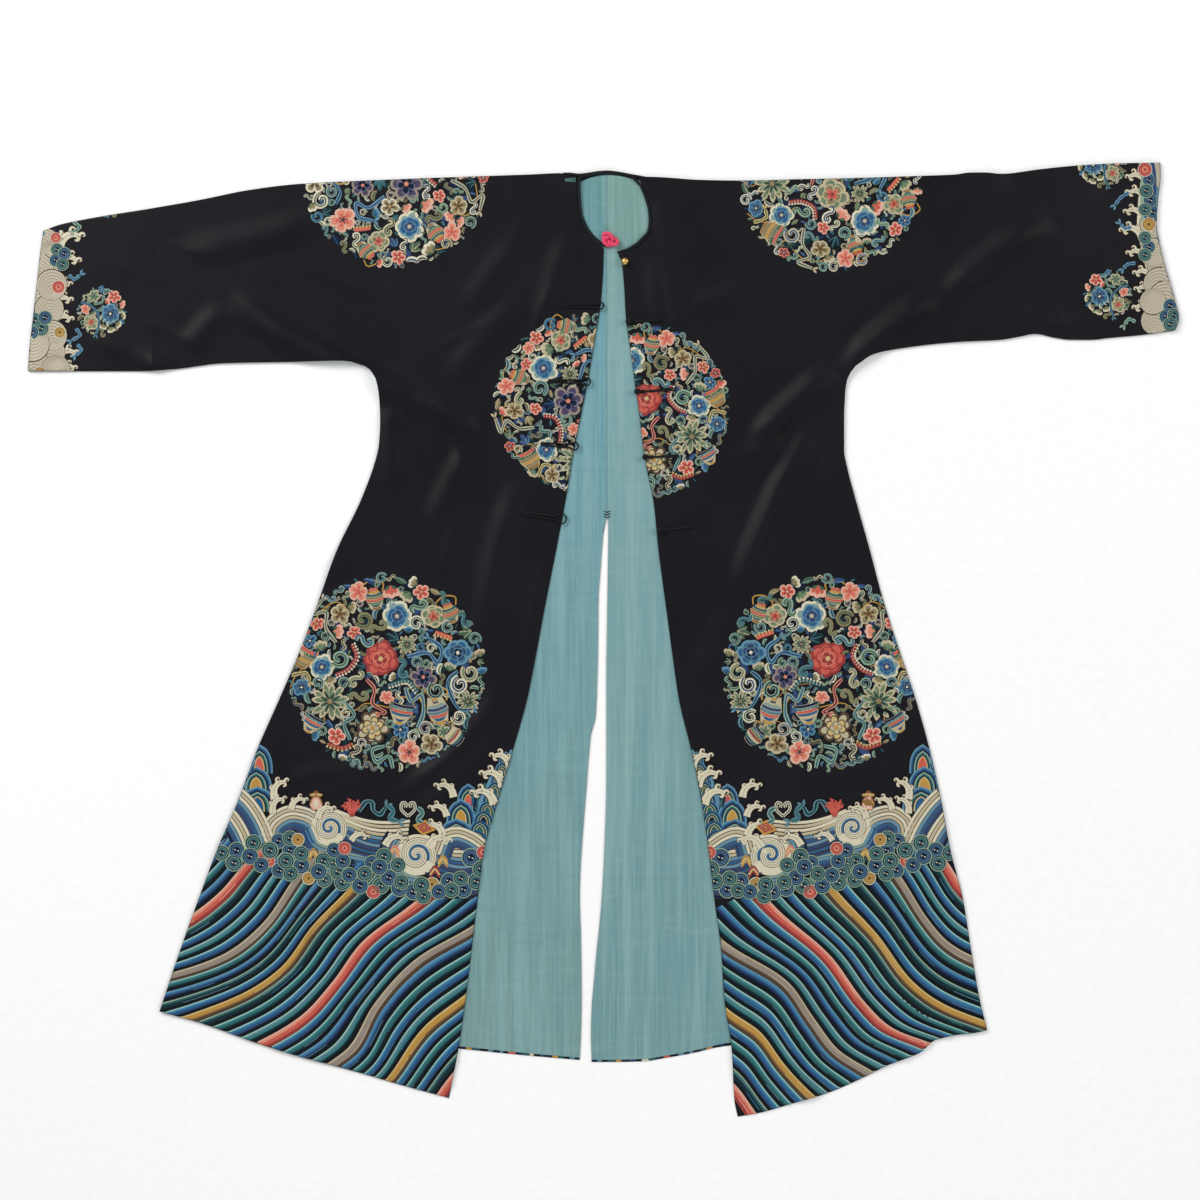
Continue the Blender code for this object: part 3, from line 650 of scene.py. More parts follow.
# The lining is level above this drop, where the neck's binding and knot lie
LINING_WAVES_BELOW = 110
LINING_CREASES = [
    Fold(-30, 140, -14, 330, 2, 9, 0.9),
    Fold(20, 180, 30, 360, -2, 8, 0.8),
    Fold(-40, 420, -52, 620, 3, 10, 0.9),
    Fold(46, 440, 60, 640, -3, 10, 0.9),
    Fold(-70, 640, -96, 860, 4, 12, 1.0),
    Fold(60, 700, 72, 930, 3, 12, 1.0),
    Fold(-130, 880, -118, 1090, 5, 12, 1.0),
    Fold(96, 900, 128, 1120, -4, 12, 1.0),
    Fold(-92, 1040, -150, 1260, -5, 14, 1.1),
    Fold(40, 1030, 66, 1270, 5, 14, 1.0),
]


def sleeve_end_piece(half, name, satin, lining):
    """The end of a sleeve as a flattened tube with a real opening, lined inside."""
    side = half.side
    seam = side * (CLOTH_WIDTH + SEAM_GAP)
    lines = (
        along_across(half.shoulder, half.cuff.value[0], seam),
        along_across(half.sleeve_under, half.cuff.value[-1], seam),
        along_drop(half.cuff, half.cuff.at[0], half.cuff.at[-1]),
        straight((seam, half.shoulder(seam)), (seam, half.sleeve_under(seam))),
    )
    close = np.array(SLEEVE_END_STEPS) / SLEEVE_END_DEPTH
    down = np.concatenate(([0.0], close, np.linspace(0.03, 0.97, SLEEVE_END_ROWS), 1 - close[::-1], [1.0]))
    us = stations(SLEEVE_END_COLUMNS, SLEEVE_END_WIDTH)
    spots = patch(*lines, us, down)
    across, drop = spots[..., 0], spots[..., 1]
    middle = SLEEVE_END_HEIGHT / 2
    near = np.minimum(down, 1 - down)[:, None] * SLEEVE_END_DEPTH
    inward = np.clip(near / SLEEVE_END_ROUNDING, 0, 1)
    round_off = np.sqrt(1 - (1 - inward) ** 2)
    upper = middle + (sleeve_end_top(half, across, drop) - middle) * round_off
    lower = np.broadcast_to(middle * (1 - round_off), across.shape)
    rows, columns = across.shape
    thin = SLEEVE_END_WALL * inward
    drawn_in = drop + SLEEVE_END_WALL * (0.5 - down[:, None]) * 2

    def ring_of(drops, high, low):
        """The upper side from fold to seam, and the lower side back again."""
        sides = [np.stack([across, drops, level], -1) for level in (high, low)]
        return np.concatenate([sides[0], sides[1][::-1][1:-1]])

    ring, inner = ring_of(drop, upper, lower), ring_of(drawn_in, upper - thin, lower + thin)
    count = len(ring)
    places = np.concatenate([ring.reshape(-1, 3), inner.reshape(-1, 3)])
    quads = grid_faces(count, columns, 0, wrap=True)
    inside = grid_faces(count, columns, count * columns, wrap=True)[:, ::-1]
    ids = np.arange(count * columns).reshape(count, columns)
    rims = []
    for rim in (ids[:, 0], ids[:, -1][::-1]):
        rim = np.append(rim, rim[0])
        rims.append(np.stack([rim[:-1], rim[1:], rim[1:] + count * columns, rim[:-1] + count * columns], 1))
    faces = np.concatenate([quads, inside, *rims])
    if side < 0:
        faces = faces[:, ::-1]
    indices = np.concatenate([np.zeros(len(quads)), np.ones(len(inside)), np.zeros(sum(map(len, rims)))])
    piece = new_piece(name, places, faces, [satin, lining], "black_satin", indices)
    shown = spots.reshape(-1, 2)
    width, tall = np.ptp(shown, axis=0) * MM
    return piece, float(width), float(tall), panel_area(spots)


def linear(colour):
    """A colour given as sRGB bytes, as linear values."""
    return tuple((c / 255 / 12.92 if c <= 10 else ((c / 255 + 0.055) / 1.055) ** 2.4) for c in colour)


class Recipe:
    """A material under construction, with short ways to add and join its nodes."""

    def __init__(self, name, roughness, sheen=0.0, metallic=0.0, specular=0.5):
        self.material = bpy.data.materials.new(name)
        self.material.use_nodes = True
        self.tree = self.material.node_tree
        self.shader = self.tree.nodes["Principled BSDF"]
        self.shader.inputs["Roughness"].default_value = roughness
        self.shader.inputs["Metallic"].default_value = metallic
        self.shader.inputs["Specular IOR Level"].default_value = specular
        self.shader.inputs["Sheen Weight"].default_value = sheen
        self.shader.inputs["Sheen Roughness"].default_value = 0.4
        self.coordinates = self.tree.nodes.new("ShaderNodeTexCoord").outputs["Object"]

    def scaled(self, scale, turn=0.0):
        node = self.tree.nodes.new("ShaderNodeMapping")
        node.inputs["Scale"].default_value = scale
        node.inputs["Rotation"].default_value = (0, 0, turn)
        self.tree.links.new(self.coordinates, node.inputs["Vector"])
        return node.outputs["Vector"]

    def noise(self, vector, scale, detail=3.0, roughness=0.5, distortion=0.0):
        node = self.tree.nodes.new("ShaderNodeTexNoise")
        node.inputs["Scale"].default_value = scale
        node.inputs["Detail"].default_value = detail
        node.inputs["Roughness"].default_value = roughness
        node.inputs["Distortion"].default_value = distortion
        self.tree.links.new(vector, node.inputs["Vector"])
        return node.outputs["Fac"]

    def wave(self, vector, scale, distortion):
        node = self.tree.nodes.new("ShaderNodeTexWave")
        node.inputs["Scale"].default_value = scale
        node.inputs["Distortion"].default_value = distortion
        node.inputs["Detail"].default_value = 1.0
        self.tree.links.new(vector, node.inputs["Vector"])
        return node.outputs["Fac"]

    def ramp(self, value, *stops):
        node = self.tree.nodes.new("ShaderNodeValToRGB")
        ramp = node.color_ramp
        while len(ramp.elements) < len(stops):
            ramp.elements.new(0.5)
        for element, (at, colour) in zip(ramp.elements, stops):
            element.position = at
            element.color = (*colour, 1.0)
        self.tree.links.new(value, node.inputs["Fac"])
        return node.outputs["Color"]

    def mask(self, value, *stops):
        """A ramp of greys, whose stops are (place, strength)."""
        return self.ramp(value, *((at, (grey,) * 3) for at, grey in stops))

    def math(self, operation, a, b):
        node = self.tree.nodes.new("ShaderNodeMath")
        node.operation = operation
        for socket, value in zip(node.inputs, (a, b)):
            if hasattr(value, "node"):
                self.tree.links.new(value, socket)
            else:
                socket.default_value = value
        return node.outputs["Value"]

    def blend(self, factor, a, b):
        node = self.tree.nodes.new("ShaderNodeMix")
        node.data_type = "RGBA"
        for socket, value in ((node.inputs[0], factor), (node.inputs[6], a), (node.inputs[7], b)):
            if hasattr(value, "node"):
                self.tree.links.new(value, socket)
            else:
                socket.default_value = value if socket is node.inputs[0] else (*value, 1.0)
        return node.outputs[2]

    def bump(self, height, strength, distance):
        node = self.tree.nodes.new("ShaderNodeBump")
        node.inputs["Strength"].default_value = strength
        node.inputs["Distance"].default_value = distance * MM
        self.tree.links.new(height, node.inputs["Height"])
        if self.shader.inputs["Normal"].is_linked:
            before = self.shader.inputs["Normal"].links[0].from_socket
            self.tree.links.new(before, node.inputs["Normal"])
        self.tree.links.new(node.outputs["Normal"], self.shader.inputs["Normal"])

    def set(self, socket, value):
        if hasattr(value, "node"):
            self.tree.links.new(value, self.shader.inputs[socket])
        else:
            self.shader.inputs[socket].default_value = value

    def spread(self, value, low, high):
        """A value between 0 and 1, spread between two numbers."""
        return self.math("ADD", self.math("MULTIPLY", value, high - low), low)


def satin_material():
    """Nearly black satin: slow changes of tone, the fine lines of its weave and a soft gloss."""
    recipe = Recipe("black_satin_cloth", 0.42, specular=0.14)
    slow = recipe.noise(recipe.coordinates, 5.0, detail=4.0, roughness=0.55)
    fine = recipe.noise(recipe.scaled((60, 900, 60)), 1.0, detail=2.0, roughness=0.5)
    colour = recipe.ramp(slow, (0.3, linear((13, 12, 17))), (0.7, linear((19, 18, 24))))
    recipe.set("Base Color", recipe.blend(recipe.math("MULTIPLY", fine, 0.25), colour, linear((28, 27, 34))))
    recipe.set("Roughness", recipe.spread(slow, 0.4, 0.56))
    weave = recipe.wave(recipe.scaled((1, 1, 1), turn=0.6), 620.0, distortion=0.6)
    recipe.bump(weave, strength=0.12, distance=0.15)
    recipe.bump(fine, strength=0.2, distance=0.2)
    return recipe.material


def lining_material(name, upper, lower, tint):
    """Blue silk with slubs down its length, its colour changing unevenly from the neck to the hem, with
    painted shade at the very top by the neck and thin crosswise lines of painted highlight and shade.
    """
    recipe = Recipe(name, 0.55, sheen=0.15, specular=0.35)
    slubs = recipe.noise(recipe.scaled((240, 7, 60)), 1.0, detail=4.0, roughness=0.6)
    threads = recipe.noise(recipe.scaled((1500, 30, 60)), 1.0, detail=2.0, roughness=0.5)
    blotches = recipe.noise(recipe.scaled((9, 3.5, 5)), 1.0, detail=4.0, roughness=0.6, distortion=0.6)
    crosswise = recipe.noise(recipe.scaled((12, 420, 30)), 1.0, detail=3.0, roughness=0.55)
    wide = recipe.noise(recipe.scaled((38, 2.0, 30)), 1.0, detail=3.0, roughness=0.55)
    # Crosswise bands that place the painted highlights and painted shade of small creases
    painted_crease_lines = recipe.noise(recipe.scaled((2.2, 26, 9)), 1.0, detail=2.0, roughness=0.5)
    split = recipe.tree.nodes.new("ShaderNodeSeparateXYZ")
    recipe.tree.links.new(recipe.coordinates, split.inputs[0])
    along = recipe.math("ADD", recipe.math("MULTIPLY", split.outputs["Y"], -0.75), 0.48)
    fade = recipe.math("ADD", along, recipe.spread(blotches, -0.3, 0.3))
    # Painted shade: a darker, greyer copy of the upper colour at the top of the lining, for the shadow under
    # the neck's binding
    painted_neck_shade = tuple(0.84 * c for c in upper[:2]) + (0.72 * upper[2],)
    dark = tuple(0.74 * c for c in upper)
    colour = recipe.ramp(fade, (0.0, painted_neck_shade), (0.16, upper), (0.9, lower))
    for value, stops, over in (
        (slubs, ((0.4, 0), (0.66, 0.45)), tint),
        (wide, ((0.5, 0), (0.68, 0.55)), tint),
        (wide, ((0.3, 0.42), (0.42, 0)), dark),
        # Painted highlight and painted shade: a thin pale line beside a thin dark line, the light and shade
        # of small crosswise creases
        (painted_crease_lines, ((0.487, 0), (0.5, 0.2), (0.513, 0)), tint),
        (painted_crease_lines, ((0.562, 0), (0.575, 0.2), (0.588, 0)), dark),
        (threads, ((0.5, 0), (0.75, 0.3)), dark),
    ):
        colour = recipe.blend(recipe.mask(value, *stops), colour, over)
    recipe.set("Base Color", colour)
    recipe.set("Roughness", recipe.spread(slubs, 0.48, 0.66))
    recipe.bump(slubs, strength=0.35, distance=0.5)
    recipe.bump(crosswise, strength=0.15, distance=0.25)
    recipe.bump(threads, strength=0.2, distance=0.2)
    return recipe.material


def cord_material(name, colour, sheen):
    """Matt silk cord, whose tone changes slowly and whose fibres show."""
    recipe = Recipe(name, 0.6, sheen=sheen, specular=0.2)
    fibres = recipe.noise(recipe.scaled((900, 900, 900)), 1.0, detail=2.0, roughness=0.6)
    slow = recipe.noise(recipe.coordinates, 60.0, detail=2.0)
    light = tuple(min(1.0, c * 1.6 + 0.004) for c in colour)
    recipe.set("Base Color", recipe.blend(slow, colour, light))
    recipe.set("Roughness", recipe.spread(fibres, 0.5, 0.75))
    recipe.bump(fibres, strength=0.4, distance=0.3)
    return recipe.material


def gilt_material():
    """Gilt metal, rubbed to a darker brown in places."""
    recipe = Recipe("worn_gilt", 0.3, metallic=1.0)
    wear = recipe.noise(recipe.coordinates, 420.0, detail=3.0, roughness=0.6)
    recipe.set("Base Color", recipe.ramp(wear, (0.35, (0.36, 0.2, 0.06)), (0.6, (0.86, 0.58, 0.2))))
    recipe.set("Roughness", recipe.spread(wear, 0.2, 0.45))
    recipe.bump(wear, strength=0.3, distance=0.2)
    return recipe.material


def floor_material():
    recipe = Recipe("pale_floor", 0.8, specular=0.2)
    grain = recipe.noise(recipe.coordinates, 90.0, detail=3.0)
    recipe.set("Base Color", recipe.ramp(grain, (0.3, FLOOR_DARK), (0.7, FLOOR_LIGHT)))
    return recipe.material


def studio():
    """A pale floor, soft lights and a camera straight above, as the photograph has them."""
    mesh = bpy.data.meshes.new("floor")
    corners = [(x * FLOOR_REACH, y * FLOOR_REACH, 0) for x, y in ((-1, -1), (1, -1), (1, 1), (-1, 1))]
    mesh.from_pydata(corners, [], [(0, 1, 2, 3)])
    mesh.materials.append(floor_material())
    floor = bpy.data.objects.new("floor", mesh)
    bpy.context.scene.collection.objects.link(floor)
    floor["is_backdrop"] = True
    world = bpy.data.worlds.new("studio")
    world.use_nodes = True
    world.node_tree.nodes["Background"].inputs["Color"].default_value = (1.0, 1.0, 1.0, 1.0)
    world.node_tree.nodes["Background"].inputs["Strength"].default_value = AMBIENT
    bpy.context.scene.world = world
    for name, place, size, power in LIGHTS:
        light = bpy.data.lights.new(name, "AREA")
        light.size = size
        light.energy = power
        lamp = bpy.data.objects.new(name, light)
        lamp.location = place
        lamp.rotation_euler = (Vector((0, 0, 0)) - Vector(place)).to_track_quat("-Z", "Y").to_euler()
        bpy.context.scene.collection.objects.link(lamp)
    camera = bpy.data.cameras.new("camera")
    camera.sensor_width = SENSOR
    camera.lens = SENSOR * CAMERA_HEIGHT / FRAME_WIDTH
    holder = bpy.data.objects.new("camera", camera)
    holder.location = (*FRAME_CENTRE, CAMERA_HEIGHT)
    bpy.context.scene.collection.objects.link(holder)
    bpy.context.scene.camera = holder
    bpy.context.scene.view_settings.view_transform = "Standard"


# Silk threads of the embroidery, as sRGB
THREADS = {
    "ivory": (204, 198, 172), "cream": (180, 168, 136), "mint": (130, 156, 136), "sage": (98, 118, 88),
    "leaf": (56, 86, 64), "sky": (88, 132, 154), "blue": (22, 80, 122), "royal": (18, 54, 98),
    "navy": (11, 30, 58), "teal": (25, 84, 88), "dark_teal": (12, 42, 49), "coral": (190, 82, 66),
    "red": (140, 42, 40), "salmon": (204, 124, 100), "pink": (212, 166, 146), "gold": (176, 134, 58),
    "amber": (134, 96, 42), "brown": (76, 60, 46), "taupe": (136, 124, 112), "lilac": (104, 98, 122),
    "ink": (3, 12, 18), "straw": (194, 170, 112), "frost": (116, 144, 138), "khaki": (128, 114, 78),
    "plum": (66, 54, 82), "steel": (74, 116, 126), "oat": (184, 176, 154), "azure": (38, 108, 150),
    "aqua": (36, 112, 116), "pale": (136, 178, 168),
}
THREAD_NAMES = list(THREADS)
DARK_THREADS = ("ink", "navy", "dark_teal", "brown")
# Each layer of thread lies this much above the last. Above the full relief all heights are pressed flatter.
LAYER = 0.1
FIRST_LAYER = 0.22
FULL_RELIEF = 1.35
UPPER_RELIEF = 0.42
# How far thread that is cut at the panel's edge is sunk into the cloth, and a motif's rim below its base
SUNK_AT_EDGE = 0.25
RIM_SINK = 0.15


def thread_material(name):
    """Floss silk: a fixed colour with stitches and sheen."""
    dark = name in DARK_THREADS
    recipe = Recipe(f"silk_{name}", 0.46, sheen=0.0 if dark else 0.1, specular=0.12 if dark else 0.33)
    recipe.shader.inputs["Base Color"].default_value = (*linear(THREADS[name]), 1.0)
    stitches = recipe.wave(recipe.scaled((1, 1, 1), 0.7 if len(name) % 2 else -0.5), 420.0, distortion=3.5)
    fibres = recipe.noise(recipe.scaled((1400, 1400, 1400)), 1.0, detail=2.0, roughness=0.6)
    recipe.set("Roughness", recipe.spread(fibres, 0.38, 0.58))
    recipe.bump(stitches, strength=0.35, distance=0.3)
    recipe.bump(fibres, strength=0.25, distance=0.2)
    return recipe.material


class Needlework:
    """The embroidery of one panel: raised patches and lines of thread, laid on the panel's surface."""

    def __init__(self, top, keep):
        self.top, self.keep = top, keep
        self.places, self.faces, self.threads = [], [], []
        self.count = 0

    def loft(self, rings, lifts, threads, wrap=True, cap=False):
        """Quads from ring to ring. threads is one name, or one for each step between rings."""
        rings = [np.asarray(ring, float) for ring in rings]
        size = len(rings[0])
        rows = [np.column_stack([ring, np.full(size, lift)]) for ring, lift in zip(rings, lifts)]
        steps = len(rings) - 1
        names = [threads] * steps if isinstance(threads, str) else list(threads)
        a = np.arange(size if wrap else size - 1)
        b = (a + 1) % size
        for k in range(steps):
            low, high = self.count + k * size, self.count + (k + 1) * size
            self.faces.append(np.stack([low + a, low + b, high + b, high + a], 1))
            self.threads.append(np.full(len(a), THREAD_NAMES.index(names[k])))
        self.places += rows
        self.count += size * len(rings)
        if cap:
            middle = np.append(rings[-1].mean(0), lifts[-1] + 0.02)
            self.places.append(middle[None])
            last = self.count - size
            centre = np.full(len(a), self.count)
            self.faces.append(np.stack([last + a, last + b, centre, centre], 1))
            self.threads.append(np.full(len(a), THREAD_NAMES.index(names[-1])))
            self.count += 1

    def patch(self, outline, thread, layer=1, plump=0.3):
        """A filled shape, low at its outline and padded inside."""
        outline = np.asarray(outline, float)
        middle = outline.mean(0)
        base = FIRST_LAYER + layer * LAYER
        self.loft([outline, mix(middle, outline, 0.72)], [base - RIM_SINK, base + plump], thread, cap=True)

    def line(self, path, width, thread, layer=1, plump=0.3):
        """A line of thread of one width, or of a width for each place on its path."""
        path = np.asarray(path, float)
        ahead = np.gradient(path, axis=0)
        ahead /= np.maximum(np.hypot(*ahead.T), 1e-9)[:, None]
        half_width = np.broadcast_to(width, len(path))[:, None] / 2
        beside = np.column_stack([-ahead[:, 1], ahead[:, 0]]) * half_width
        base = FIRST_LAYER + layer * LAYER
        lifts = [base - RIM_SINK, base + plump, base + plump, base - RIM_SINK]
        rings = [path + beside, path + beside * 0.45, path - beside * 0.45, path - beside]
        self.loft(rings, lifts, thread, wrap=False)

    def piece(self, name):
        """All of it as one mesh. What lies past the panel's edge is cut away there."""
        places, faces = np.concatenate(self.places), np.concatenate(self.faces)
        threads = np.concatenate(self.threads)
        kept, cut = self.keep(places[:, :2])
        whole = ~cut[faces].all(1)
        faces, threads = faces[whole], threads[whole]
        lift = places[:, 2]
        lift = np.where(lift > FULL_RELIEF, FULL_RELIEF + (lift - FULL_RELIEF) * UPPER_RELIEF, lift)
        lift = np.where(cut, -SUNK_AT_EDGE, lift)
        final = np.column_stack([kept, self.top(kept[:, 0], kept[:, 1]) + lift])
        used, inverse = np.unique(faces, return_inverse=True)
        faces = inverse.reshape(faces.shape)
        final = final[used]
        a, b, c, d = (final[faces[:, k]] for k in range(4))
        cross = (c - a)[:, 0] * (d - b)[:, 1] - (c - a)[:, 1] * (d - b)[:, 0]
        three = faces[:, 2] == faces[:, 3]
        tri = (b - a)[:, 0] * (c - a)[:, 1] - (b - a)[:, 1] * (c - a)[:, 0]
        signed = np.where(three, tri, cross)
        solid = np.abs(signed) > 1e-3
        faces, threads, signed = faces[solid], threads[solid], signed[solid]
        faces = np.where(signed[:, None] > 0, faces[:, [1, 0, 3, 2]], faces)
        rows = [[v for k, v in enumerate(face) if v != face[k - 1]] for face in faces.tolist()]
        names, indices = np.unique(threads, return_inverse=True)
        materials = [SILKS[THREAD_NAMES[k]] for k in names]
        return new_piece(name, final, rows, materials, "black_satin", indices)


# How far inside a panel's edge its thread is cut
EDGE_INSET = 0.5


def keep_on_front(half):
    """Moves places past the front's outline onto it, and says which they were."""
    inset = EDGE_INSET
    side = half.side

    def keep(spots):
        across, drop = spots[:, 0].copy(), spots[:, 1].copy()
        cut = np.zeros(len(spots), bool)
        in_body = drop > half.side_edge.at[0]
        for limit, applies, inner in (
            (half.front_edge(drop) + side * inset, drop > 105, True),
            (half.side_edge(drop) - side * inset, in_body & (np.abs(across) > 300), False),
        ):
            past = (across - limit) * side
            out = applies & ((past < 0) if inner else (past > 0))
            across[out], cut = limit[out], cut | out
        top = half.shoulder(across) + inset
        high = drop < top
        drop[high], cut = top[high], cut | high
        foot = half.hem(across) - inset
        low = drop > foot
        drop[low], cut = foot[low], cut | low
        return np.column_stack([across, drop]), cut

    return keep


def keep_on_sleeve_end(half):
    """Moves places past the sleeve end's outline onto it, and says which they were."""
    inset = EDGE_INSET
    side = half.side

    def keep(spots):
        across, drop = spots[:, 0].copy(), spots[:, 1].copy()
        limit = half.cuff(drop) - side * inset
        out = (across - limit) * side > 0
        across[out] = limit[out]
        seam = side * (CLOTH_WIDTH + 1)
        inside = (across - seam) * side < 0
        across[inside] = seam
        top, foot = half.shoulder(across) + inset, half.sleeve_under(across) - inset
        high, low = drop < top, drop > foot
        drop = np.clip(drop, top, foot)
        return np.column_stack([across, drop]), out | high | low | inside

    return keep


def on_front(half):
    return Needlework(lambda across, drop: front_top(half, across, drop), keep_on_front(half))


def on_sleeve_end(half):
    return Needlework(lambda across, drop: sleeve_end_top(half, across, drop), keep_on_sleeve_end(half))


def moved(shape, x, y, turn=0.0, size=1.0, flip=False):
    """A shape turned, sized and moved; flip turns it over first."""
    shape = np.asarray(shape, float) * size
    if flip:
        shape = shape * np.array([1, -1])
    c, s = math.cos(turn), math.sin(turn)
    return shape @ np.array([[c, s], [-s, c]]) + np.array([x, y])


def petal(length, width, widest=0.6, steps=5, full=1.0):
    """The outline of a petal or leaf from its foot at the origin to its tip; full below 1 is rounder."""
    s = (1 - np.cos(np.linspace(0, math.pi, steps + 1))) / 2
    power = math.log(0.5) / math.log(widest)
    half = np.maximum(np.sin(math.pi * s**power), 0) ** full * width / 2
    upper = np.column_stack([s * length, half])
    return np.concatenate([upper, (upper * [1, -1])[-2:0:-1]])


def circle(radius, steps=12):
    t = np.linspace(0, 2 * math.pi, steps, endpoint=False)
    return np.column_stack([radius * np.cos(t), radius * np.sin(t)])


def curve(spots, steps=16):
    """A rounded path through a few places."""
    spots = np.asarray(spots, float)
    ends = np.concatenate(([2 * spots[0] - spots[1]], spots, [2 * spots[-1] - spots[-2]]))
    at = np.linspace(0, len(spots) - 1, steps)
    i = np.minimum(at.astype(int), len(spots) - 2)
    s = (at - i)[:, None]
    a, b, c, d = (ends[i + k] for k in range(4))
    return 0.5 * (2 * b + (c - a) * s + (2 * a - 5 * b + 4 * c - d) * s**2 + (3 * b - a - 3 * c + d) * s**3)


# Flowers, as rings of petals: how many, how far they reach, how wide they are, their edge and their fill.
# A last row gives how pointed the petals are, from 0.4, round, to 1, and the thread of the heart.
FLOWERS = {
    "red_peony": [(7, 1.0, 0.84, "red", "coral"), (5, 0.7, 0.78, "red", "coral"),
                  (4, 0.42, 0.6, "salmon", "red"), (0.45, "straw")],
    "blue_peony": [(7, 1.0, 0.8, "ivory", "frost"), (6, 0.72, 0.78, "sky", "blue"),
                   (4, 0.44, 0.6, "sky", "royal"), (0.42, "cream")],
    "deep_peony": [(6, 1.0, 0.9, "sky", "blue"), (5, 0.7, 0.8, "steel", "royal"),
                   (4, 0.4, 0.56, "sky", "navy"), (0.45, "ivory")],
    "green_peony": [(6, 1.0, 0.9, "cream", "sage"), (5, 0.68, 0.7, "cream", "khaki"),
                    (4, 0.4, 0.4, "salmon", "coral"), (0.5, "red")],
    "cream_mum": [(8, 1.0, 0.62, "brown", "cream"), (6, 0.72, 0.56, "brown", "straw"),
                  (4, 0.42, 0.42, "leaf", "cream"), (0.42, "gold")],
    "green_mum": [(11, 1.0, 0.34, "cream", "sage"), (8, 0.66, 0.3, "cream", "leaf"), (0.8, "khaki")],
    "plum_pink": [(5, 1.0, 0.94, "pink", "salmon"), (5, 0.46, 0.22, "pink", "red"), (0.42, "brown")],
    "plum_cream": [(5, 1.0, 0.94, "cream", "khaki"), (5, 0.46, 0.22, "straw", "amber"), (0.42, "brown")],
    "coral_bloom": [(5, 1.0, 0.86, "pink", "coral"), (0.45, "straw")],
    "red_bloom": [(5, 1.0, 0.86, "salmon", "red"), (0.45, "cream")],
    "pink_bloom": [(5, 1.0, 0.9, "pink", "salmon"), (0.42, "coral")],
    "white_bloom": [(5, 1.0, 0.86, "ivory", "khaki"), (0.5, "gold")],
    "sage_bloom": [(6, 1.0, 0.74, "cream", "sage"), (3, 0.5, 0.5, "frost", "leaf"), (0.5, "khaki")],
    "blue_bloom": [(5, 1.0, 0.86, "sky", "blue"), (3, 0.5, 0.4, "frost", "royal"), (0.45, "ivory")],
    "lilac_cloud": [(6, 1.0, 0.74, "taupe", "plum"), (5, 0.62, 0.56, "lilac", "navy"), (0.45, "salmon")],
}
# The thread that shades the foot of a petal of each fill
DEEPER = {"cream": "khaki", "straw": "taupe", "coral": "red", "salmon": "coral", "khaki": "brown",
          "sage": "leaf", "leaf": "dark_teal", "frost": "steel",
          "blue": "navy", "royal": "ink", "red": "plum", "plum": "navy", "navy": "ink"}


def flower(work, kind, x, y, radius, turn, layer=3):
    """Rings of petals on a dark ground, each with a light edge and a deeper foot, round a heart."""
    *rings, (full, heart) = FLOWERS[kind]
    steps = 4 if radius < 8 else 6
    work.patch(moved(circle(radius * 1.1, 12), x, y), "ink", 1, 0.02)
    for k, (count, reach, width, edge, fill) in enumerate(rings):
        for j in range(count):
            heading = turn + 2 * math.pi * (j + 0.5 * (k % 2)) / count + 0.07 * math.sin(3.1 * j + 9 * turn)
            long = radius * reach * (1 + 0.09 * math.sin(2.3 * j + 7 * turn))
            foot = np.array([math.cos(heading), math.sin(heading)]) * long * 0.1 + (x, y)
            for tint, share, wide, lift in ((edge, 0.9, 1.0, 0.0), (fill, 0.82, 0.8, 0.7),
                                            (DEEPER.get(fill, "brown"), 0.52, 0.36, 1.3)):
                if share > 0.6 or (radius > 7 and k < 2):
                    points = steps if share > 0.6 else 3
                    shape = petal(long * share, radius * width * wide, 0.64, points, full)
                    work.patch(moved(shape, *foot, heading), tint, layer + 2 * k + lift, 0.14)
    work.patch(moved(circle(radius * 0.15, 8), x, y), heart, layer + 2 * len(rings), 0.25)


def leaf(work, x, y, length, turn, dark, light, layer=2):
    """A leaf with a light half, on a dark ground."""
    work.patch(moved(petal(length * 1.12, length * 0.62, 0.45, 4), x, y, turn), "ink", 1, 0.02)
    work.patch(moved(petal(length, length * 0.46, 0.45), x, y, turn), dark, layer)
    work.patch(moved(petal(length * 0.9, length * 0.2, 0.45), x, y, turn + 0.13), light, layer + 1, 0.2)


def two_tone(work, path, width, light, dark, layer):
    """A padded line shaded along one side, on a dark ground."""
    ahead = np.gradient(path, axis=0)
    beside = np.column_stack([-ahead[:, 1], ahead[:, 0]]) / np.maximum(np.hypot(*ahead.T), 1e-9)[:, None]
    width = np.broadcast_to(width, len(path))
    work.line(path, width + 2.2, "ink", 1, 0.02)
    work.line(path, width, light, layer)
    work.line(path + beside * width[:, None] * 0.1, width * 0.56, dark, layer + 1)


def spray(work, x, y, radius, turn, dark, light, layer=2):
    for k in (-1, 0, 1):
        start = moved([(-0.8 * radius, 0)], x, y, turn)[0]
        leaf(work, *start, radius * (1.7 if k == 0 else 1.35), turn + 0.62 * k, dark, light, layer + (k == 0))


def ribbon(work, spots, width, edge, body, layer=3):
    """A fluttering ribbon: a light edge under a narrower body, with a forked end."""
    steps = 20
    path = curve(spots, steps)
    swell = width * (0.75 + 0.35 * np.sin(np.linspace(0.3, 3 * math.pi, steps)) ** 2)
    work.line(path, swell + 2.0, "ink", 1, 0.02)
    work.line(path, swell, edge, layer)
    work.line(path, swell * 0.62, body, layer + 1)
    heading = math.atan2(*(path[-1] - path[-2])[::-1])
    for k in (-1, 1):
        work.patch(moved(petal(width * 1.7, width * 0.7), *path[-1], heading + 0.45 * k), edge, layer)


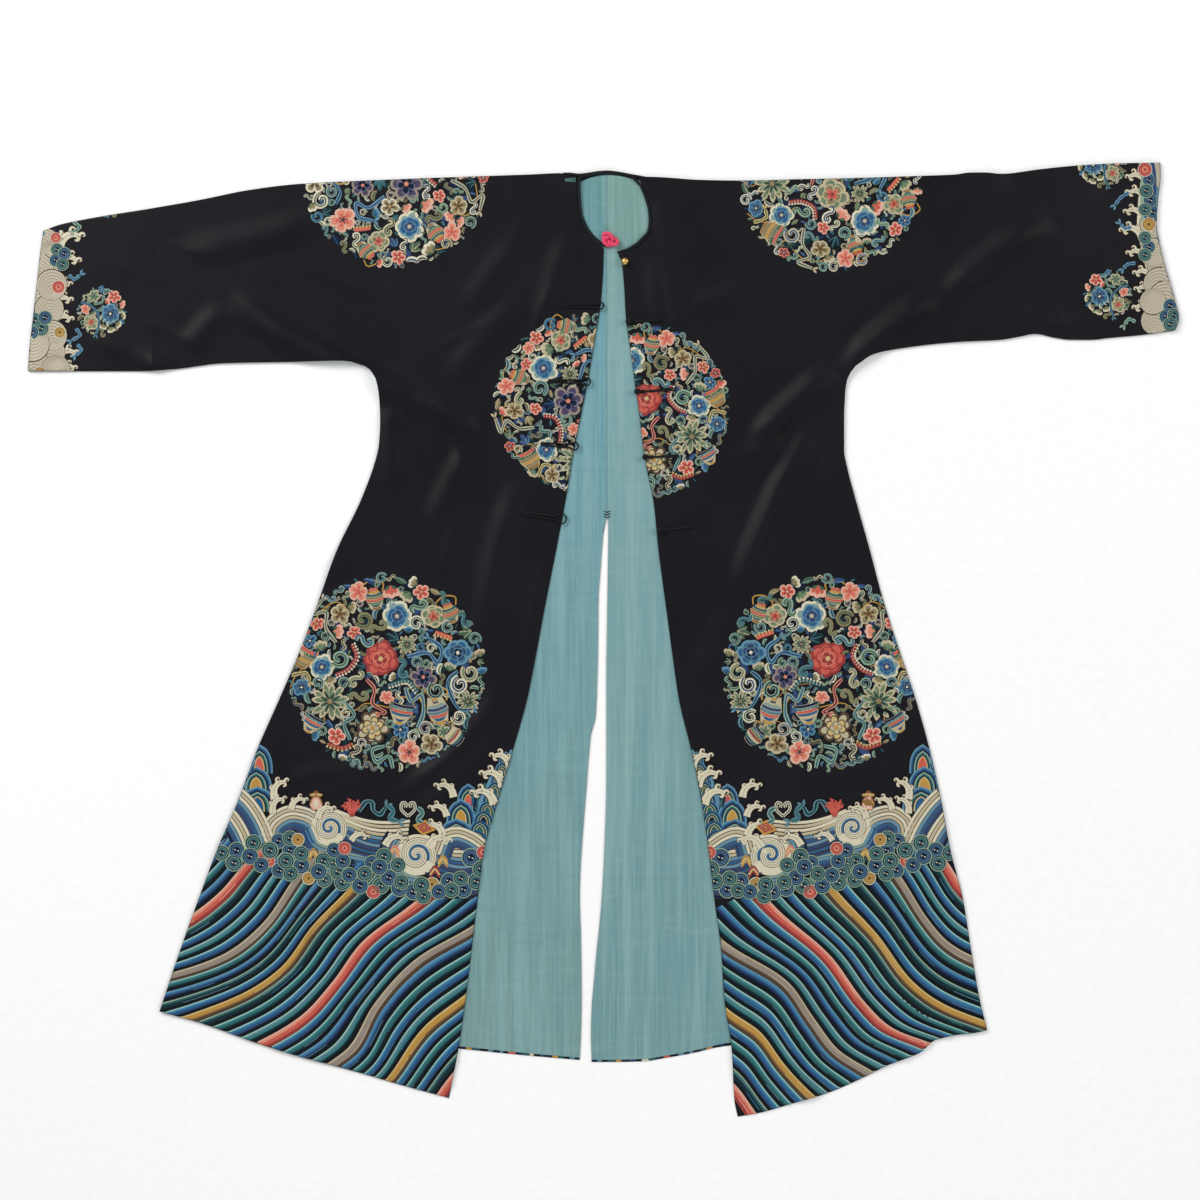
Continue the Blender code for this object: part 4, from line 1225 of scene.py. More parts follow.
# Vessels: rows of (height, half width), both as shares of the vessel's height, and bands of thread
VESSELS = {
    "vase": ([(0, 0.26), (0.08, 0.2), (0.42, 0.4), (0.62, 0.36), (0.8, 0.13), (0.92, 0.13), (1, 0.24)],
             ["gold", "blue", "coral", "steel", "royal", "frost", "royal", "gold"]),
    "jar": ([(0, 0.24), (0.1, 0.2), (0.4, 0.44), (0.7, 0.4), (0.85, 0.2), (0.9, 0.26), (1, 0.08)],
            ["amber", "teal", "sage", "coral", "khaki", "teal", "gold", "coral"]),
    "bowl": ([(0, 0.24), (0.14, 0.2), (0.3, 0.4), (0.7, 0.6), (1, 0.66)],
             ["gold", "royal", "cream", "blue", "coral", "steel", "navy"]),
    "basket": ([(0, 0.34), (0.3, 0.46), (0.7, 0.6), (1, 0.56)],
               ["amber", "khaki", "gold", "khaki", "leaf", "coral"]),
    "drum": ([(0, 0.3), (0.2, 0.46), (0.5, 0.5), (0.8, 0.46), (1, 0.3)],
             ["navy", "teal", "cream", "red", "sage", "blue", "navy"]),
}


def vessel(work, kind, x, y, height, turn):
    """A banded vessel standing along its turn, on a light edge, with a handle round it."""
    profile, bands = VESSELS[kind]
    outline = Table(*profile)
    layer = 3
    base = FIRST_LAYER + layer * LAYER
    marks = np.linspace(0, 1, len(bands) + 1)
    shares = np.array([-1, -0.55, 0, 0.55, 1.0])

    work.patch(moved(circle(height * 0.6, 12), x, y), "ink", 1, 0.02)

    def strip(low, high, wide, thread, lift):
        s = np.linspace(low, high, 3)
        half = outline(s) * height * wide
        rings = [moved(np.column_stack([(s - 0.5 - 0.07 * (1 - k * k)) * height, half * k]), x, y, turn)
                 for k in shares]
        level = base + lift
        lifts = [level - 0.15, level + 0.2, level + 0.3, level + 0.2, level - 0.15]
        work.loft(rings, lifts, thread, wrap=False)

    strip(-0.01, 1.01, 1.03, "cream", 0.0)
    for low, high, thread in zip(marks, marks[1:], bands):
        strip(low + 0.012, high - 0.012, 0.94, thread, 0.2)
    handle = curve([(0.24, 0.4), (0.62, 0.5), (0.84, 0.0), (0.62, -0.5), (0.24, -0.4)], 16) * height
    work.line(moved(handle, x, y, turn), max(1.2, height * 0.07), "gold", layer - 2)
    for k in (-0.35, 0, 0.35):
        spot = moved([(0.2 * height, k * 0.8 * height * float(outline(0.7)))], x, y, turn)[0]
        work.patch(moved(circle(height * 0.05, 6), *spot), "straw", layer + 3, 0.3)


def beads(work, spots, size, band, bead):
    """A band with round beads along its middle and one side."""
    layer = 3
    path = curve(spots, 24)
    work.line(path, size * 1.3, band, layer)
    length = np.hypot(*np.diff(path, axis=0).T).sum()
    count = max(4, int(length / (size * 0.95)))
    marks = through(path)(np.linspace(0, 1, count))
    ahead = np.gradient(marks, axis=0)
    beside = np.column_stack([-ahead[:, 1], ahead[:, 0]]) / np.hypot(*ahead.T)[:, None]
    for spot, way in zip(marks, beside):
        work.patch(moved(circle(size * 0.42, 7), *(spot + way * size * 0.85)), bead, layer + 1, 0.35)
        work.patch(moved(circle(size * 0.26, 6), *spot), bead, layer + 2, 0.3)


# The main motifs of a roundel: kind, and its place and size as shares of the roundel's radius
ROUNDEL_FLOWERS = [
    ("red_peony", -0.06, 0.14, 0.18), ("blue_peony", 0.1, 0.56, 0.16), ("deep_peony", 0.7, 0.2, 0.14),
    ("blue_peony", -0.64, 0.06, 0.13), ("cream_mum", -0.14, -0.54, 0.17), ("green_mum", -0.56, -0.28, 0.2),
    ("plum_pink", 0.22, -0.78, 0.12), ("plum_cream", 0.44, -0.7, 0.11), ("plum_cream", -0.46, 0.58, 0.1),
    ("green_peony", 0.46, 0.56, 0.12), ("lilac_cloud", 0.36, -0.04, 0.13), ("coral_bloom", -0.32, 0.4, 0.07),
    ("pink_bloom", -0.28, 0.8, 0.1), ("coral_bloom", 0.34, 0.8, 0.08), ("coral_bloom", -0.5, -0.62, 0.09),
    ("deep_peony", -0.84, -0.14, 0.09), ("pink_bloom", 0.0, -0.24, 0.07), ("green_mum", 0.8, -0.28, 0.12),
    ("red_bloom", -0.82, 0.42, 0.06), ("sage_bloom", 0.56, -0.58, 0.07), ("green_mum", 0.2, 0.28, 0.1),
]
# Vessels: kind, place, height as shares of the radius, and heading in degrees
ROUNDEL_VESSELS = [
    ("vase", 0.5, -0.36, 0.27, 105), ("bowl", 0.14, -0.4, 0.2, 78), ("jar", -0.12, 0.74, 0.21, 100),
    ("drum", 0.66, -0.62, 0.18, 140), ("basket", -0.82, 0.16, 0.2, 60), ("bowl", -0.74, -0.5, 0.17, 60),
    ("jar", 0.62, 0.6, 0.2, 110),
]
# Ribbons: width as a share of the radius, edge and body threads, then the places that they pass
ROUNDEL_RIBBONS = [
    (0.043, "sky", "royal", [(0.2, 0.16), (0.4, 0.2), (0.5, 0.1), (0.54, 0.24), (0.42, 0.34)]),
    (0.04, "cream", "teal", [(-0.5, 0.3), (-0.6, 0.44), (-0.6, 0.6), (-0.74, 0.58), (-0.64, 0.72)]),
    (0.043, "mint", "blue", [(0.18, -0.14), (0.24, -0.28), (0.34, -0.22), (0.36, -0.4), (0.3, -0.54)]),
    (0.038, "salmon", "navy", [(-0.2, -0.06), (-0.12, -0.16), (-0.14, -0.3), (-0.02, -0.38), (-0.06, -0.4)]),
    (0.038, "frost", "teal", [(-0.36, -0.66), (-0.42, -0.5), (-0.32, -0.42), (-0.4, -0.3)]),
    (0.038, "straw", "leaf", [(-0.94, -0.02), (-0.8, 0.0), (-0.76, -0.08)]),
    (0.04, "mint", "teal", [(0.06, -0.94), (0.02, -0.82), (-0.1, -0.88), (-0.14, -0.76), (-0.02, -0.72)]),
    (0.038, "sky", "navy", [(0.7, 0.02), (0.6, -0.1), (0.7, -0.34), (0.84, -0.36)]),
]
# Bead bands: thread and bead, then the places that they pass
ROUNDEL_BEADS = [
    ("red", "ivory", [(-0.5, -0.02), (-0.38, 0.04), (-0.3, 0.16), (-0.34, 0.28)]),
    ("teal", "ivory", [(0.02, -0.12), (0.2, -0.08), (0.3, -0.18)]),
    ("coral", "straw", [(0.48, 0.4), (0.6, 0.36), (0.64, 0.34)]),
    ("red", "straw", [(-0.58, -0.7), (-0.44, -0.74), (-0.34, -0.7)]),
]
# Long thin cords: thread, then the places that they pass
ROUNDEL_CORDS = [
    ("gold", [(-0.95, -0.14), (-0.88, 0.0), (-0.7, 0.1), (-0.48, 0.06)]),
    ("amber", [(0.08, -0.1), (0.3, -0.14), (0.44, -0.26), (0.5, -0.46)]),
    ("gold", [(-0.72, 0.44), (-0.66, 0.6), (-0.5, 0.7), (-0.38, 0.62)]),
    ("amber", [(0.28, -0.56), (0.44, -0.48), (0.6, -0.5), (0.72, -0.42)]),
    ("gold", [(-0.44, -0.4), (-0.3, -0.36), (-0.2, -0.3), (0.02, -0.34)]),
]
FILL_FLOWERS = ["coral_bloom", "sage_bloom", "white_bloom", "pink_bloom", "blue_bloom", "sage_bloom",
                "plum_cream"]
LEAF_PAIRS = [("teal", "steel"), ("leaf", "frost"), ("royal", "sky"), ("dark_teal", "sage"), ("navy", "blue"),
              ("leaf", "cream"), ("khaki", "cream"), ("sage", "khaki"), ("dark_teal", "steel")]
EDGES = ["ivory", "frost", "cream", "mint", "ivory", "khaki", "mint", "steel"]
BODIES = ["teal", "leaf", "blue", "sage", "dark_teal", "royal", "leaf"]
GROUND_THREADS = ["navy", "dark_teal", "ink", "royal", "dark_teal"]
GROUND_LEAVES = 135
RIM_MOTIFS = 54
RIM_SIZES = (0.052, 0.06, 0.068)
RIM_KINDS = ("scroll", "bean", "scroll", "bud", "leaf", "scroll", "scroll")
# The sizes that are tried in turn, with how often, and the kinds to draw from for sizes above each limit
FILL_STAGES = ((0.085, 500), (0.07, 900), (0.058, 1500), (0.046, 2200), (0.036, 3000), (0.028, 3000))
FILL_KINDS = (
    (0.06, ("bud", "spray", "scroll", "scroll", "scroll", "scroll", "scroll", "bloom")),
    (0.04, ("bud", "leaf", "scroll", "scroll", "bean", "scroll", "spray", "scroll", "scroll")),
    (0.0, ("leaf", "bean", "bean", "scroll", "scroll")),
)
# The paths of the scrolls, in a square from -1 to 1
SCROLLS = [
    [(-0.3, 0.1), (-0.8, 0.2), (-0.85, -0.35), (-0.3, -0.45), (0.15, 0.0), (0.35, 0.45), (0.85, 0.4),
     (0.8, -0.1)],
    [(0.1, 0.2), (-0.35, 0.1), (-0.3, -0.45), (0.4, -0.55), (0.85, 0.05), (0.5, 0.75), (-0.3, 0.8),
     (-0.9, 0.35)],
    [(-0.9, -0.1), (-0.55, 0.4), (-0.1, 0.1), (0.3, -0.35), (0.85, 0.1)],
]


def roundel_design(seed, turn, swaps):
    """Every motif of a roundel of radius 1, as calls to make: ground, main motifs, rim and fillings.

    The turn and the exchange of flowers apply to the main motifs; the seed gives the rest.
    """
    draw = random.Random(seed)
    taken = []
    calls = []
    turn, swaps = math.radians(turn), dict(swaps)

    def placed(rows):
        c, s = math.cos(turn), math.sin(turn)
        return [(x * c - y * s, x * s + y * c) for x, y in rows]

    def hold(x, y, radius):
        taken.append((x, y, radius))

    for _ in range(GROUND_LEAVES):
        angle, reach = draw.uniform(0, 2 * math.pi), math.sqrt(draw.random()) * 0.92
        calls.append(("ground", reach * math.cos(angle), reach * math.sin(angle), draw.uniform(0.05, 0.085),
                      draw.uniform(0, 6.3), draw.randrange(99)))
    for kind, x, y, size in ROUNDEL_FLOWERS:
        x, y = placed([(x, y)])[0]
        calls.append(("flower", swaps.get(kind, kind), x, y, size, draw.uniform(0, 6)))
        hold(x, y, size * 0.95)
    for kind, x, y, height, heading in ROUNDEL_VESSELS:
        x, y = placed([(x, y)])[0]
        calls.append(("vessel", kind, x, y, height, math.radians(heading) + turn))
        hold(x, y, height * 0.52)
    for width, edge, body, spots in ROUNDEL_RIBBONS:
        spots = placed(spots)
        calls.append(("ribbon", edge, body, spots, width))
        for x, y in curve(spots, 10):
            hold(x, y, width * 0.6)
    for band, bead, spots in ROUNDEL_BEADS:
        spots = placed(spots)
        calls.append(("beads", band, bead, spots))
        for x, y in curve(spots, 8):
            hold(x, y, 0.03)
    for thread, spots in ROUNDEL_CORDS:
        calls.append(("cord", thread, placed(spots)))
    for k in range(RIM_MOTIFS):
        angle = 2 * math.pi * (k + draw.uniform(-0.25, 0.25)) / RIM_MOTIFS
        size = draw.choice(RIM_SIZES)
        x, y = (0.99 - size) * math.cos(angle), (0.99 - size) * math.sin(angle)
        if all(math.hypot(x - a, y - b) > (size + c) * 0.8 for a, b, c in taken):
            kind = draw.choice(RIM_KINDS)
            heading = angle + math.pi / 2 + draw.uniform(-0.5, 0.5)
            calls.append((kind, x, y, size, heading, draw.randrange(99)))
            hold(x, y, size * 0.85)
    for size, tries in FILL_STAGES:
        for _ in range(tries):
            angle, reach = draw.uniform(0, 2 * math.pi), math.sqrt(draw.random()) * (0.99 - size)
            x, y = reach * math.cos(angle), reach * math.sin(angle)
            rows = np.array(taken)
            if (np.hypot(rows[:, 0] - x, rows[:, 1] - y) > (size + rows[:, 2]) * 0.84).all():
                kind = draw.choice(next(kinds for limit, kinds in FILL_KINDS if size > limit))
                calls.append((kind, x, y, size, draw.uniform(0, 6.3), draw.randrange(99)))
                hold(x, y, size)
    return calls


def roundel(work, across, drop, radius, flip, calls):
    """One roundel of a design, at its own place and size, and turned over where flip says so."""
    way = -1 if flip else 1

    def spot(x, y):
        return moved([(x * way, -y)], across, drop, 0.0, radius)[0]

    def spots_of(rows):
        return [tuple(spot(x, y)) for x, y in rows]

    def heading(angle):
        return angle - math.pi if flip else -angle

    for kind, *rest in calls:
        if kind == "flower":
            name, x, y, size, angle = rest
            flower(work, name, *spot(x, y), size * radius, heading(angle))
        elif kind == "vessel":
            name, x, y, height, angle = rest
            vessel(work, name, *spot(x, y), height * radius, heading(angle))
        elif kind == "ribbon":
            edge, body, rows, width = rest
            ribbon(work, spots_of(rows), width * radius, edge, body)
        elif kind == "cord":
            thread, rows = rest
            work.line(curve(spots_of(rows), 22), 0.011 * radius, thread, 3, 0.25)
        elif kind == "beads":
            band, bead, rows = rest
            beads(work, spots_of(rows), 0.03 * radius, band, bead)
        else:
            x, y, size, angle, pick = rest
            small_motif(work, kind, *spot(x, y), size * radius, heading(angle), pick)


def small_motif(work, kind, x, y, size, turn, pick):
    """One of the small motifs that fill the ground between the large ones."""
    dark, light = LEAF_PAIRS[pick % len(LEAF_PAIRS)]
    edge, body = EDGES[pick % len(EDGES)], BODIES[pick % len(BODIES)]
    petals = FILL_FLOWERS[pick % len(FILL_FLOWERS)]
    if kind == "ground":
        shape = petal(2 * size, size, 0.5, 4, 0.8)
        start = moved([(-size, 0)], x, y, turn)[0]
        work.patch(moved(shape, *start, turn), GROUND_THREADS[pick % len(GROUND_THREADS)], 0, 0.05)
    elif kind == "bloom":
        flower(work, petals, x, y, size, turn, 2)
    elif kind == "bud":
        edge, fill = FLOWERS[petals][0][3:]
        foot = moved([(-0.7 * size, 0)], x, y, turn)[0]
        for k in (-1, 1, 0):
            shape = petal(1.6 * size, 0.95 * size, 0.66, 5, 0.5)
            work.patch(moved(shape, *foot, turn + 0.55 * k), edge, 3 + 2 * (k == 0), 0.15)
            work.patch(moved(shape * 0.8, *foot, turn + 0.55 * k), fill, 4 + 2 * (k == 0), 0.15)
        for k in (-1, 1):
            work.patch(moved(petal(0.9 * size, 0.4 * size), *foot, turn + 0.9 * k), "leaf", 7, 0.15)
    elif kind == "leaf":
        start = moved([(-size, 0)], x, y, turn)[0]
        leaf(work, *start, 2.1 * size, turn, dark, light)
    elif kind == "spray":
        spray(work, x, y, size, turn, dark, light)
    elif kind == "bean":
        bend = curve([(-0.95, 0.25), (-0.4, -0.2), (0.4, -0.2), (0.95, 0.25)], 8) * size
        swell = size * np.array([0.2, 0.62, 0.85, 0.9, 0.9, 0.85, 0.62, 0.2])
        two_tone(work, moved(bend, x, y, turn), swell * 0.9, edge, body, 3)
    elif kind == "scroll":
        rows = SCROLLS[pick % len(SCROLLS)]
        path = curve(rows, 20 if len(rows) > 5 else 13) * size * 1.05
        wide = np.full(len(path), size * 0.5)
        wide[[0, -1]] *= 0.5
        two_tone(work, moved(path, x, y, turn), wide, edge, body, 3)


# Sea discs: rings of thread from the rim inwards, as shares of the radius
DISCS = {
    "blue": [(1.0, "mint"), (0.88, "navy"), (0.74, "sky"), (0.68, "royal"), (0.5, "steel"), (0.43, "navy")],
    "teal": [(1.0, "mint"), (0.88, "dark_teal"), (0.72, "mint"), (0.66, "teal"), (0.47, "steel"),
             (0.4, "dark_teal")],
    "gold": [(1.0, "ivory"), (0.88, "amber"), (0.74, "gold"), (0.56, "khaki"), (0.46, "gold"),
             (0.2, "brown")],
    "coral": [(1.0, "pink"), (0.88, "red"), (0.74, "coral"), (0.56, "red"), (0.46, "salmon"), (0.2, "red")],
    "scale": [
        (1.0, "brown"),
        *((share - 0.085 * line, ("oat", "taupe")[line])
          for share in (0.96, 0.85, 0.74, 0.63, 0.52, 0.41, 0.3, 0.19) for line in (0, 1)),
        (0.12, "oat"),
    ],
}


def disc(work, across, drop, radius, kind, layer, lean=(0.0, 0.0)):
    """A disc of ringed thread, whose rings may lean to one side; blue and teal ones have two pale eyes."""
    rings = DISCS[kind]
    steps = 18 if radius > 11 else 14
    shapes, lifts, threads = [], [], []
    base = FIRST_LAYER + layer * LAYER
    for k, (share, thread) in enumerate(rings):
        inner = rings[k + 1][0] if k + 1 < len(rings) else 0.05
        for size in (share, mix(inner, share, 0.15)):
            away = radius * (1 - size)
            shapes.append(moved(circle(radius * size, steps), across + lean[0] * away, drop + lean[1] * away))
        lifts += [base + (0.12 if k else -0.2), base + 0.34]
        threads += [thread, thread]
    work.loft(shapes, lifts, threads[:-1], cap=True)
    if kind in ("blue", "teal"):
        for k in (-1, 1):
            shape = petal(radius * 0.26, radius * 0.2, 0.5, 3)
            eye = moved(shape, across + k * radius * 0.06, drop, 0.5 + (k < 0) * math.pi)
            work.patch(eye, "ivory", layer + 3.2, 0.2)


# The crest of a wave: its tongue, one of its fingers, and where on the tongue each finger grows, its
# heading and its length
CREST = [(-1.75, 1.15), (-1.35, 0.35), (-0.75, -0.12), (-0.05, -0.24), (0.5, 0.05), (0.42, 0.48),
         (0.08, 0.42)]
CREST_STEPS = 22
FINGER = [(0, 0.1), (0.02, -0.4), (0.3, -0.62), (0.56, -0.42), (0.36, -0.22)]
FINGER_WIDTHS = [0.36, 0.34, 0.31, 0.28, 0.24, 0.2, 0.15, 0.11, 0.06]
FINGERS = ((5, -0.75, 0.95), (10, -0.25, 1.05), (15, 0.6, 0.95))


def claw(work, across, drop, size, turn, flip, layer):
    """The crest of a wave: a curled tongue with small curled fingers along its outer side."""
    def put(path, x=0.0, y=0.0, heading=0.0):
        return moved(moved(path, x, y, heading), across, drop, turn, size, flip)

    def outlined(path, wide):
        work.line(path, wide + 1.6, "brown", layer - 1, 0.1)
        work.line(path, wide, "ivory", layer, 0.35)

    body = curve(CREST, CREST_STEPS)
    finger = curve(FINGER, len(FINGER_WIDTHS))
    for k, lean, long in FINGERS:
        outlined(put(finger * long, *body[k], lean), size * np.array(FINGER_WIDTHS))
    swell = size * np.interp(np.linspace(0, 1, CREST_STEPS), [0, 0.35, 0.7, 1], [1.05, 0.74, 0.42, 0.16])
    outlined(put(body), swell)
    work.line(put(body[:16]), 0.7, "taupe", layer + 3, 0.3)


def ogive(half_width, height):
    """An arch with a soft point, its foot at the origin and its tip upwards."""
    s = np.linspace(0, 1, 7)
    side = half_width * (1 - s**3) ** 0.7
    rise = -height * s
    right = np.column_stack([side, rise])
    return np.concatenate([right, (right * [-1, 1])[-2::-1]])


def lobe(work, across, drop, half_width, height, core, layer):
    """One lobe of a mountain: nested arches round a bright core."""
    rings = ["sky", "blue", "navy", "mint", "teal", "dark_teal", "straw", core, core]
    shares = [1.0, 0.9, 0.78, 0.66, 0.58, 0.48, 0.4, 0.33, 0.12]
    shapes = [moved(ogive(half_width * s, height * mix(0.35, 1.0, s)), across, drop) for s in shares]
    base = FIRST_LAYER + layer * LAYER
    lifts = [base - 0.2] + [base + 0.1 + 0.01 * k for k in range(len(shares) - 1)]
    work.loft(shapes, lifts, rings[:-1], cap=True)


ROLLER_THREADS = ["ivory", "cream", "ivory", "cream", "sky", "blue", "sky", "royal", "blue", "royal", "navy"]
UNDER_THREADS = ["frost", "sky", "blue", "royal", "navy"]
# The lines of a roller's spiral: how far in each lies, its thread and its width. Both measures are
# shares of the distance from one turn to the next.
SPIRAL_LINES = (
    (0.02, "brown", 0.07), (0.14, "ivory", 0.18), (0.26, "brown", 0.05), (0.38, "ivory", 0.18),
    (0.5, "brown", 0.05), (0.6, "ivory", 0.16), (0.84, "blue", 0.32), (0.76, "sky", 0.1),
)
SPIRAL_TURNS = 2.0
BAND = 5.4


def outlined_band(work, path, width, thread, layer):
    """A band of thread with a fine brown line at its sides."""
    work.line(path, width, "brown", layer, 0.1)
    work.line(path, width * 0.78, thread, layer + 1, 0.4)


def roller(work, across, drop, radius, reach, turn, flip, layer):
    """A rolling wave: a spiral of pale bands with a blue channel, and bands that run on from it."""
    def put(shape):
        return moved(shape, across, drop, turn, 1.0, flip)

    for k, thread in enumerate(UNDER_THREADS):
        around = radius + BAND * (k + 0.4)
        t = np.linspace(math.radians(215), math.radians(90), 16)
        arc = np.column_stack([around * np.cos(t), around * np.sin(t)])
        x = np.linspace(0, reach, 12)[1:]
        tail = np.column_stack([x, around + 6 * np.sin(x / reach * math.pi) * (1 - k * 0.08)])
        outlined_band(work, put(np.concatenate([arc, tail])), BAND, thread, layer)
    count = int(2 * radius / BAND)
    for k in range(count):
        level = -radius + BAND * (k + 0.5)
        start = math.sqrt(max(radius**2 - level**2, 1)) - 6
        x = np.linspace(start, reach, 16)
        share = (x - start) / (reach - start)
        wave = 9 * np.sin(share * math.pi) + (level + radius) * 0.16 * (x - start) / reach
        thread = ROLLER_THREADS[min(k, len(ROLLER_THREADS) - 1)]
        outlined_band(work, put(np.column_stack([x, level + wave - 2])), BAND, thread, layer + 2)
    work.patch(put(circle(radius, 28)), "ivory", layer + 8, 0.1)
    coil = radius / 2.15
    t = np.linspace(0, 2 * math.pi * SPIRAL_TURNS, 64)
    for share, thread, width in SPIRAL_LINES:
        out = np.maximum(radius - coil * share - coil * t / (2 * math.pi), 0.3)
        spiral = np.column_stack([out * np.cos(-t + 0.4), out * np.sin(-t + 0.4)])
        work.line(put(spiral), np.full(len(t), coil * width), thread, layer + 10 + (thread == "sky"), 0.4)


# Standing water at the hem: the threads of one padded stripe, from its lit edge to its dark one
STRIPES = {
    "blue": ["pale", "azure", "blue", "royal", "ink"],
    "teal": ["pale", "aqua", "teal", "dark_teal", "ink"],
    "deep": ["sky", "azure", "royal", "navy", "ink"],
    "sea": ["pale", "steel", "aqua", "dark_teal", "ink"],
    "night": ["mint", "teal", "dark_teal", "dark_teal", "ink"],
    "coral": ["pink", "salmon", "coral", "coral", "red"],
    "taupe": ["cream", "taupe", "taupe", "taupe", "brown"],
    "gold": ["straw", "gold", "gold", "amber", "brown"],
}
# The round of a stripe, as places across it from 0 to 1 with their heights, and how much it is raised
STRIPE_RINGS = [(0.02, -0.1), (0.15, 0.75), (0.35, 1.1), (0.54, 1.1), (0.69, 0.75), (0.99, -0.1)]
STRIPE_RAISE = 0.16
# Short lines of a lighter thread on each stripe: how many, their places across it and their threads
TINT_LINES = 4
TINT_PLACES = (0.3, 0.45, 0.6)
TINTS = {"coral": "pink", "taupe": "cream", "gold": "straw"}
BLUE_TINTS = ("sky", "azure", "steel", "aqua")
# The stripes between each two guides, in order
BETWEEN = [
    ("sea", "blue", "teal", "deep"), ("night", "blue", "sea", "blue"), ("teal", "deep", "night", "blue"),
    ("night", "teal", "blue", "sea"), ("blue", "teal", "deep", "sea"), ("deep", "teal", "blue", "sea"),
    ("blue", "teal", "blue", "night"),
]
# Guides for the stripes, from the side seam inwards; each but the first and last carries a bright stripe
RIGHT_GUIDES = [
    ("", [(-560, 950), (-600, 990), (-645, 1030), (-695, 1060), (-745, 1085)]),
    ("coral", [(-500, 998), (-537, 1032), (-575, 1076), (-620, 1112), (-668, 1138), (-720, 1156)]),
    ("taupe", [(-425, 1008), (-457, 1045), (-509, 1121), (-571, 1170), (-654, 1198), (-730, 1212)]),
    ("gold", [(-350, 1032), (-382, 1070), (-437, 1125), (-482, 1186), (-537, 1225), (-617, 1258),
              (-690, 1282)]),
    ("coral", [(-245, 1058), (-282, 1090), (-360, 1148), (-405, 1209), (-448, 1258), (-512, 1298),
               (-590, 1330)]),
    ("taupe", [(-150, 1095), (-194, 1125), (-282, 1176), (-343, 1242), (-376, 1304), (-409, 1331),
               (-470, 1372)]),
    ("gold", [(-150, 1185), (-216, 1237), (-271, 1281), (-326, 1356), (-380, 1410)]),
    ("coral", [(-130, 1262), (-190, 1310), (-238, 1362), (-280, 1430)]),
]
LEFT_GUIDES = [
    ("", [(540, 955), (575, 988), (620, 1018), (670, 1040)]),
    ("coral", [(478, 992), (505, 1031), (528, 1067), (562, 1094), (620, 1112)]),
    ("taupe", [(405, 1012), (435, 1051), (474, 1113), (508, 1152), (548, 1175), (620, 1200)]),
    ("gold", [(315, 1046), (345, 1082), (401, 1141), (452, 1209), (497, 1243), (564, 1271), (640, 1295)]),
    ("coral", [(218, 1068), (249, 1101), (328, 1169), (378, 1237), (418, 1276), (474, 1299), (550, 1330)]),
    ("taupe", [(128, 1112), (172, 1152), (265, 1209), (305, 1265), (339, 1310), (390, 1344), (460, 1388)]),
    ("gold", [(122, 1195), (181, 1256), (226, 1288), (260, 1333), (305, 1381), (360, 1432)]),
    ("coral", [(140, 1318), (196, 1376), (216, 1405), (250, 1455)]),
]
STRIPE_STEPS = 64


def water_stripes(work, guides, seed):
    """Padded stripes that run down to the hem between and along the guides."""
    s = np.linspace(0, 1, STRIPE_STEPS)
    lines = np.array([through(spots)(s) for _, spots in guides])
    per = len(BETWEEN[0]) + 1
    draw = random.Random(seed)

    def at(q):
        i = int(min(max(math.floor(q / per), 0), len(lines) - 2))
        return mix(lines[i], lines[i + 1], q / per - i)

    for number in range(1, per * (len(guides) - 1) + 1):
        i, j = divmod(number, per)
        kind = guides[i][0] if j == 0 else BETWEEN[i % len(BETWEEN)][j - 1]
        first = number - 0.5
        rings = [at(first + share) for share, _ in STRIPE_RINGS]
        base = FIRST_LAYER + STRIPE_RAISE
        work.loft(rings, [base + lift for _, lift in STRIPE_RINGS], STRIPES[kind], wrap=False)
        for _ in range(TINT_LINES):
            start = draw.randrange(2, STRIPE_STEPS - 14)
            long = draw.randrange(6, 13)
            path = at(first + draw.choice(TINT_PLACES))[start:start + long]
            blue_tint = draw.choice(BLUE_TINTS)
            work.line(path, 1.3, TINTS.get(kind, blue_tint), 10, 0.25)


# The sea above the stripes, on the wearer's right front. Columns: across, drop, radius, reach, turn
ROLLERS = [(-416, 974, 27.5, 118, 0.14), (-285, 1015, 31, 96, 0.08)]
# Waves without a spiral: the crest line of each, and the threads of the bands below it
WAVES = [
    ([(-572, 902), (-552, 914), (-530, 934), (-512, 962), (-500, 992)],
     ["ivory", "cream", "ivory", "sky", "blue", "royal", "ivory", "cream", "ivory", "sky", "blue", "navy"]),
    ([(-519, 992), (-509, 962), (-482, 944), (-454, 945), (-430, 958), (-416, 986)],
     ["ivory", "cream", "ivory", "cream", "sky", "blue", "royal"]),
    ([(-262, 1010), (-250, 984), (-226, 975), (-200, 983), (-176, 1000)],
     ["ivory", "cream", "ivory", "sky", "blue", "royal"]),
]
# Lobes of the two mountains: across, drop of the foot, half width, height, core
LOBES = [(-521, 893, 20, 44, "coral"), (-526, 922, 24, 40, "gold"), (-524, 950, 28, 38, "blue"),
         (-208, 946, 17, 38, "coral"), (-219, 971, 22, 40, "gold"), (-226, 998, 28, 38, "blue")]
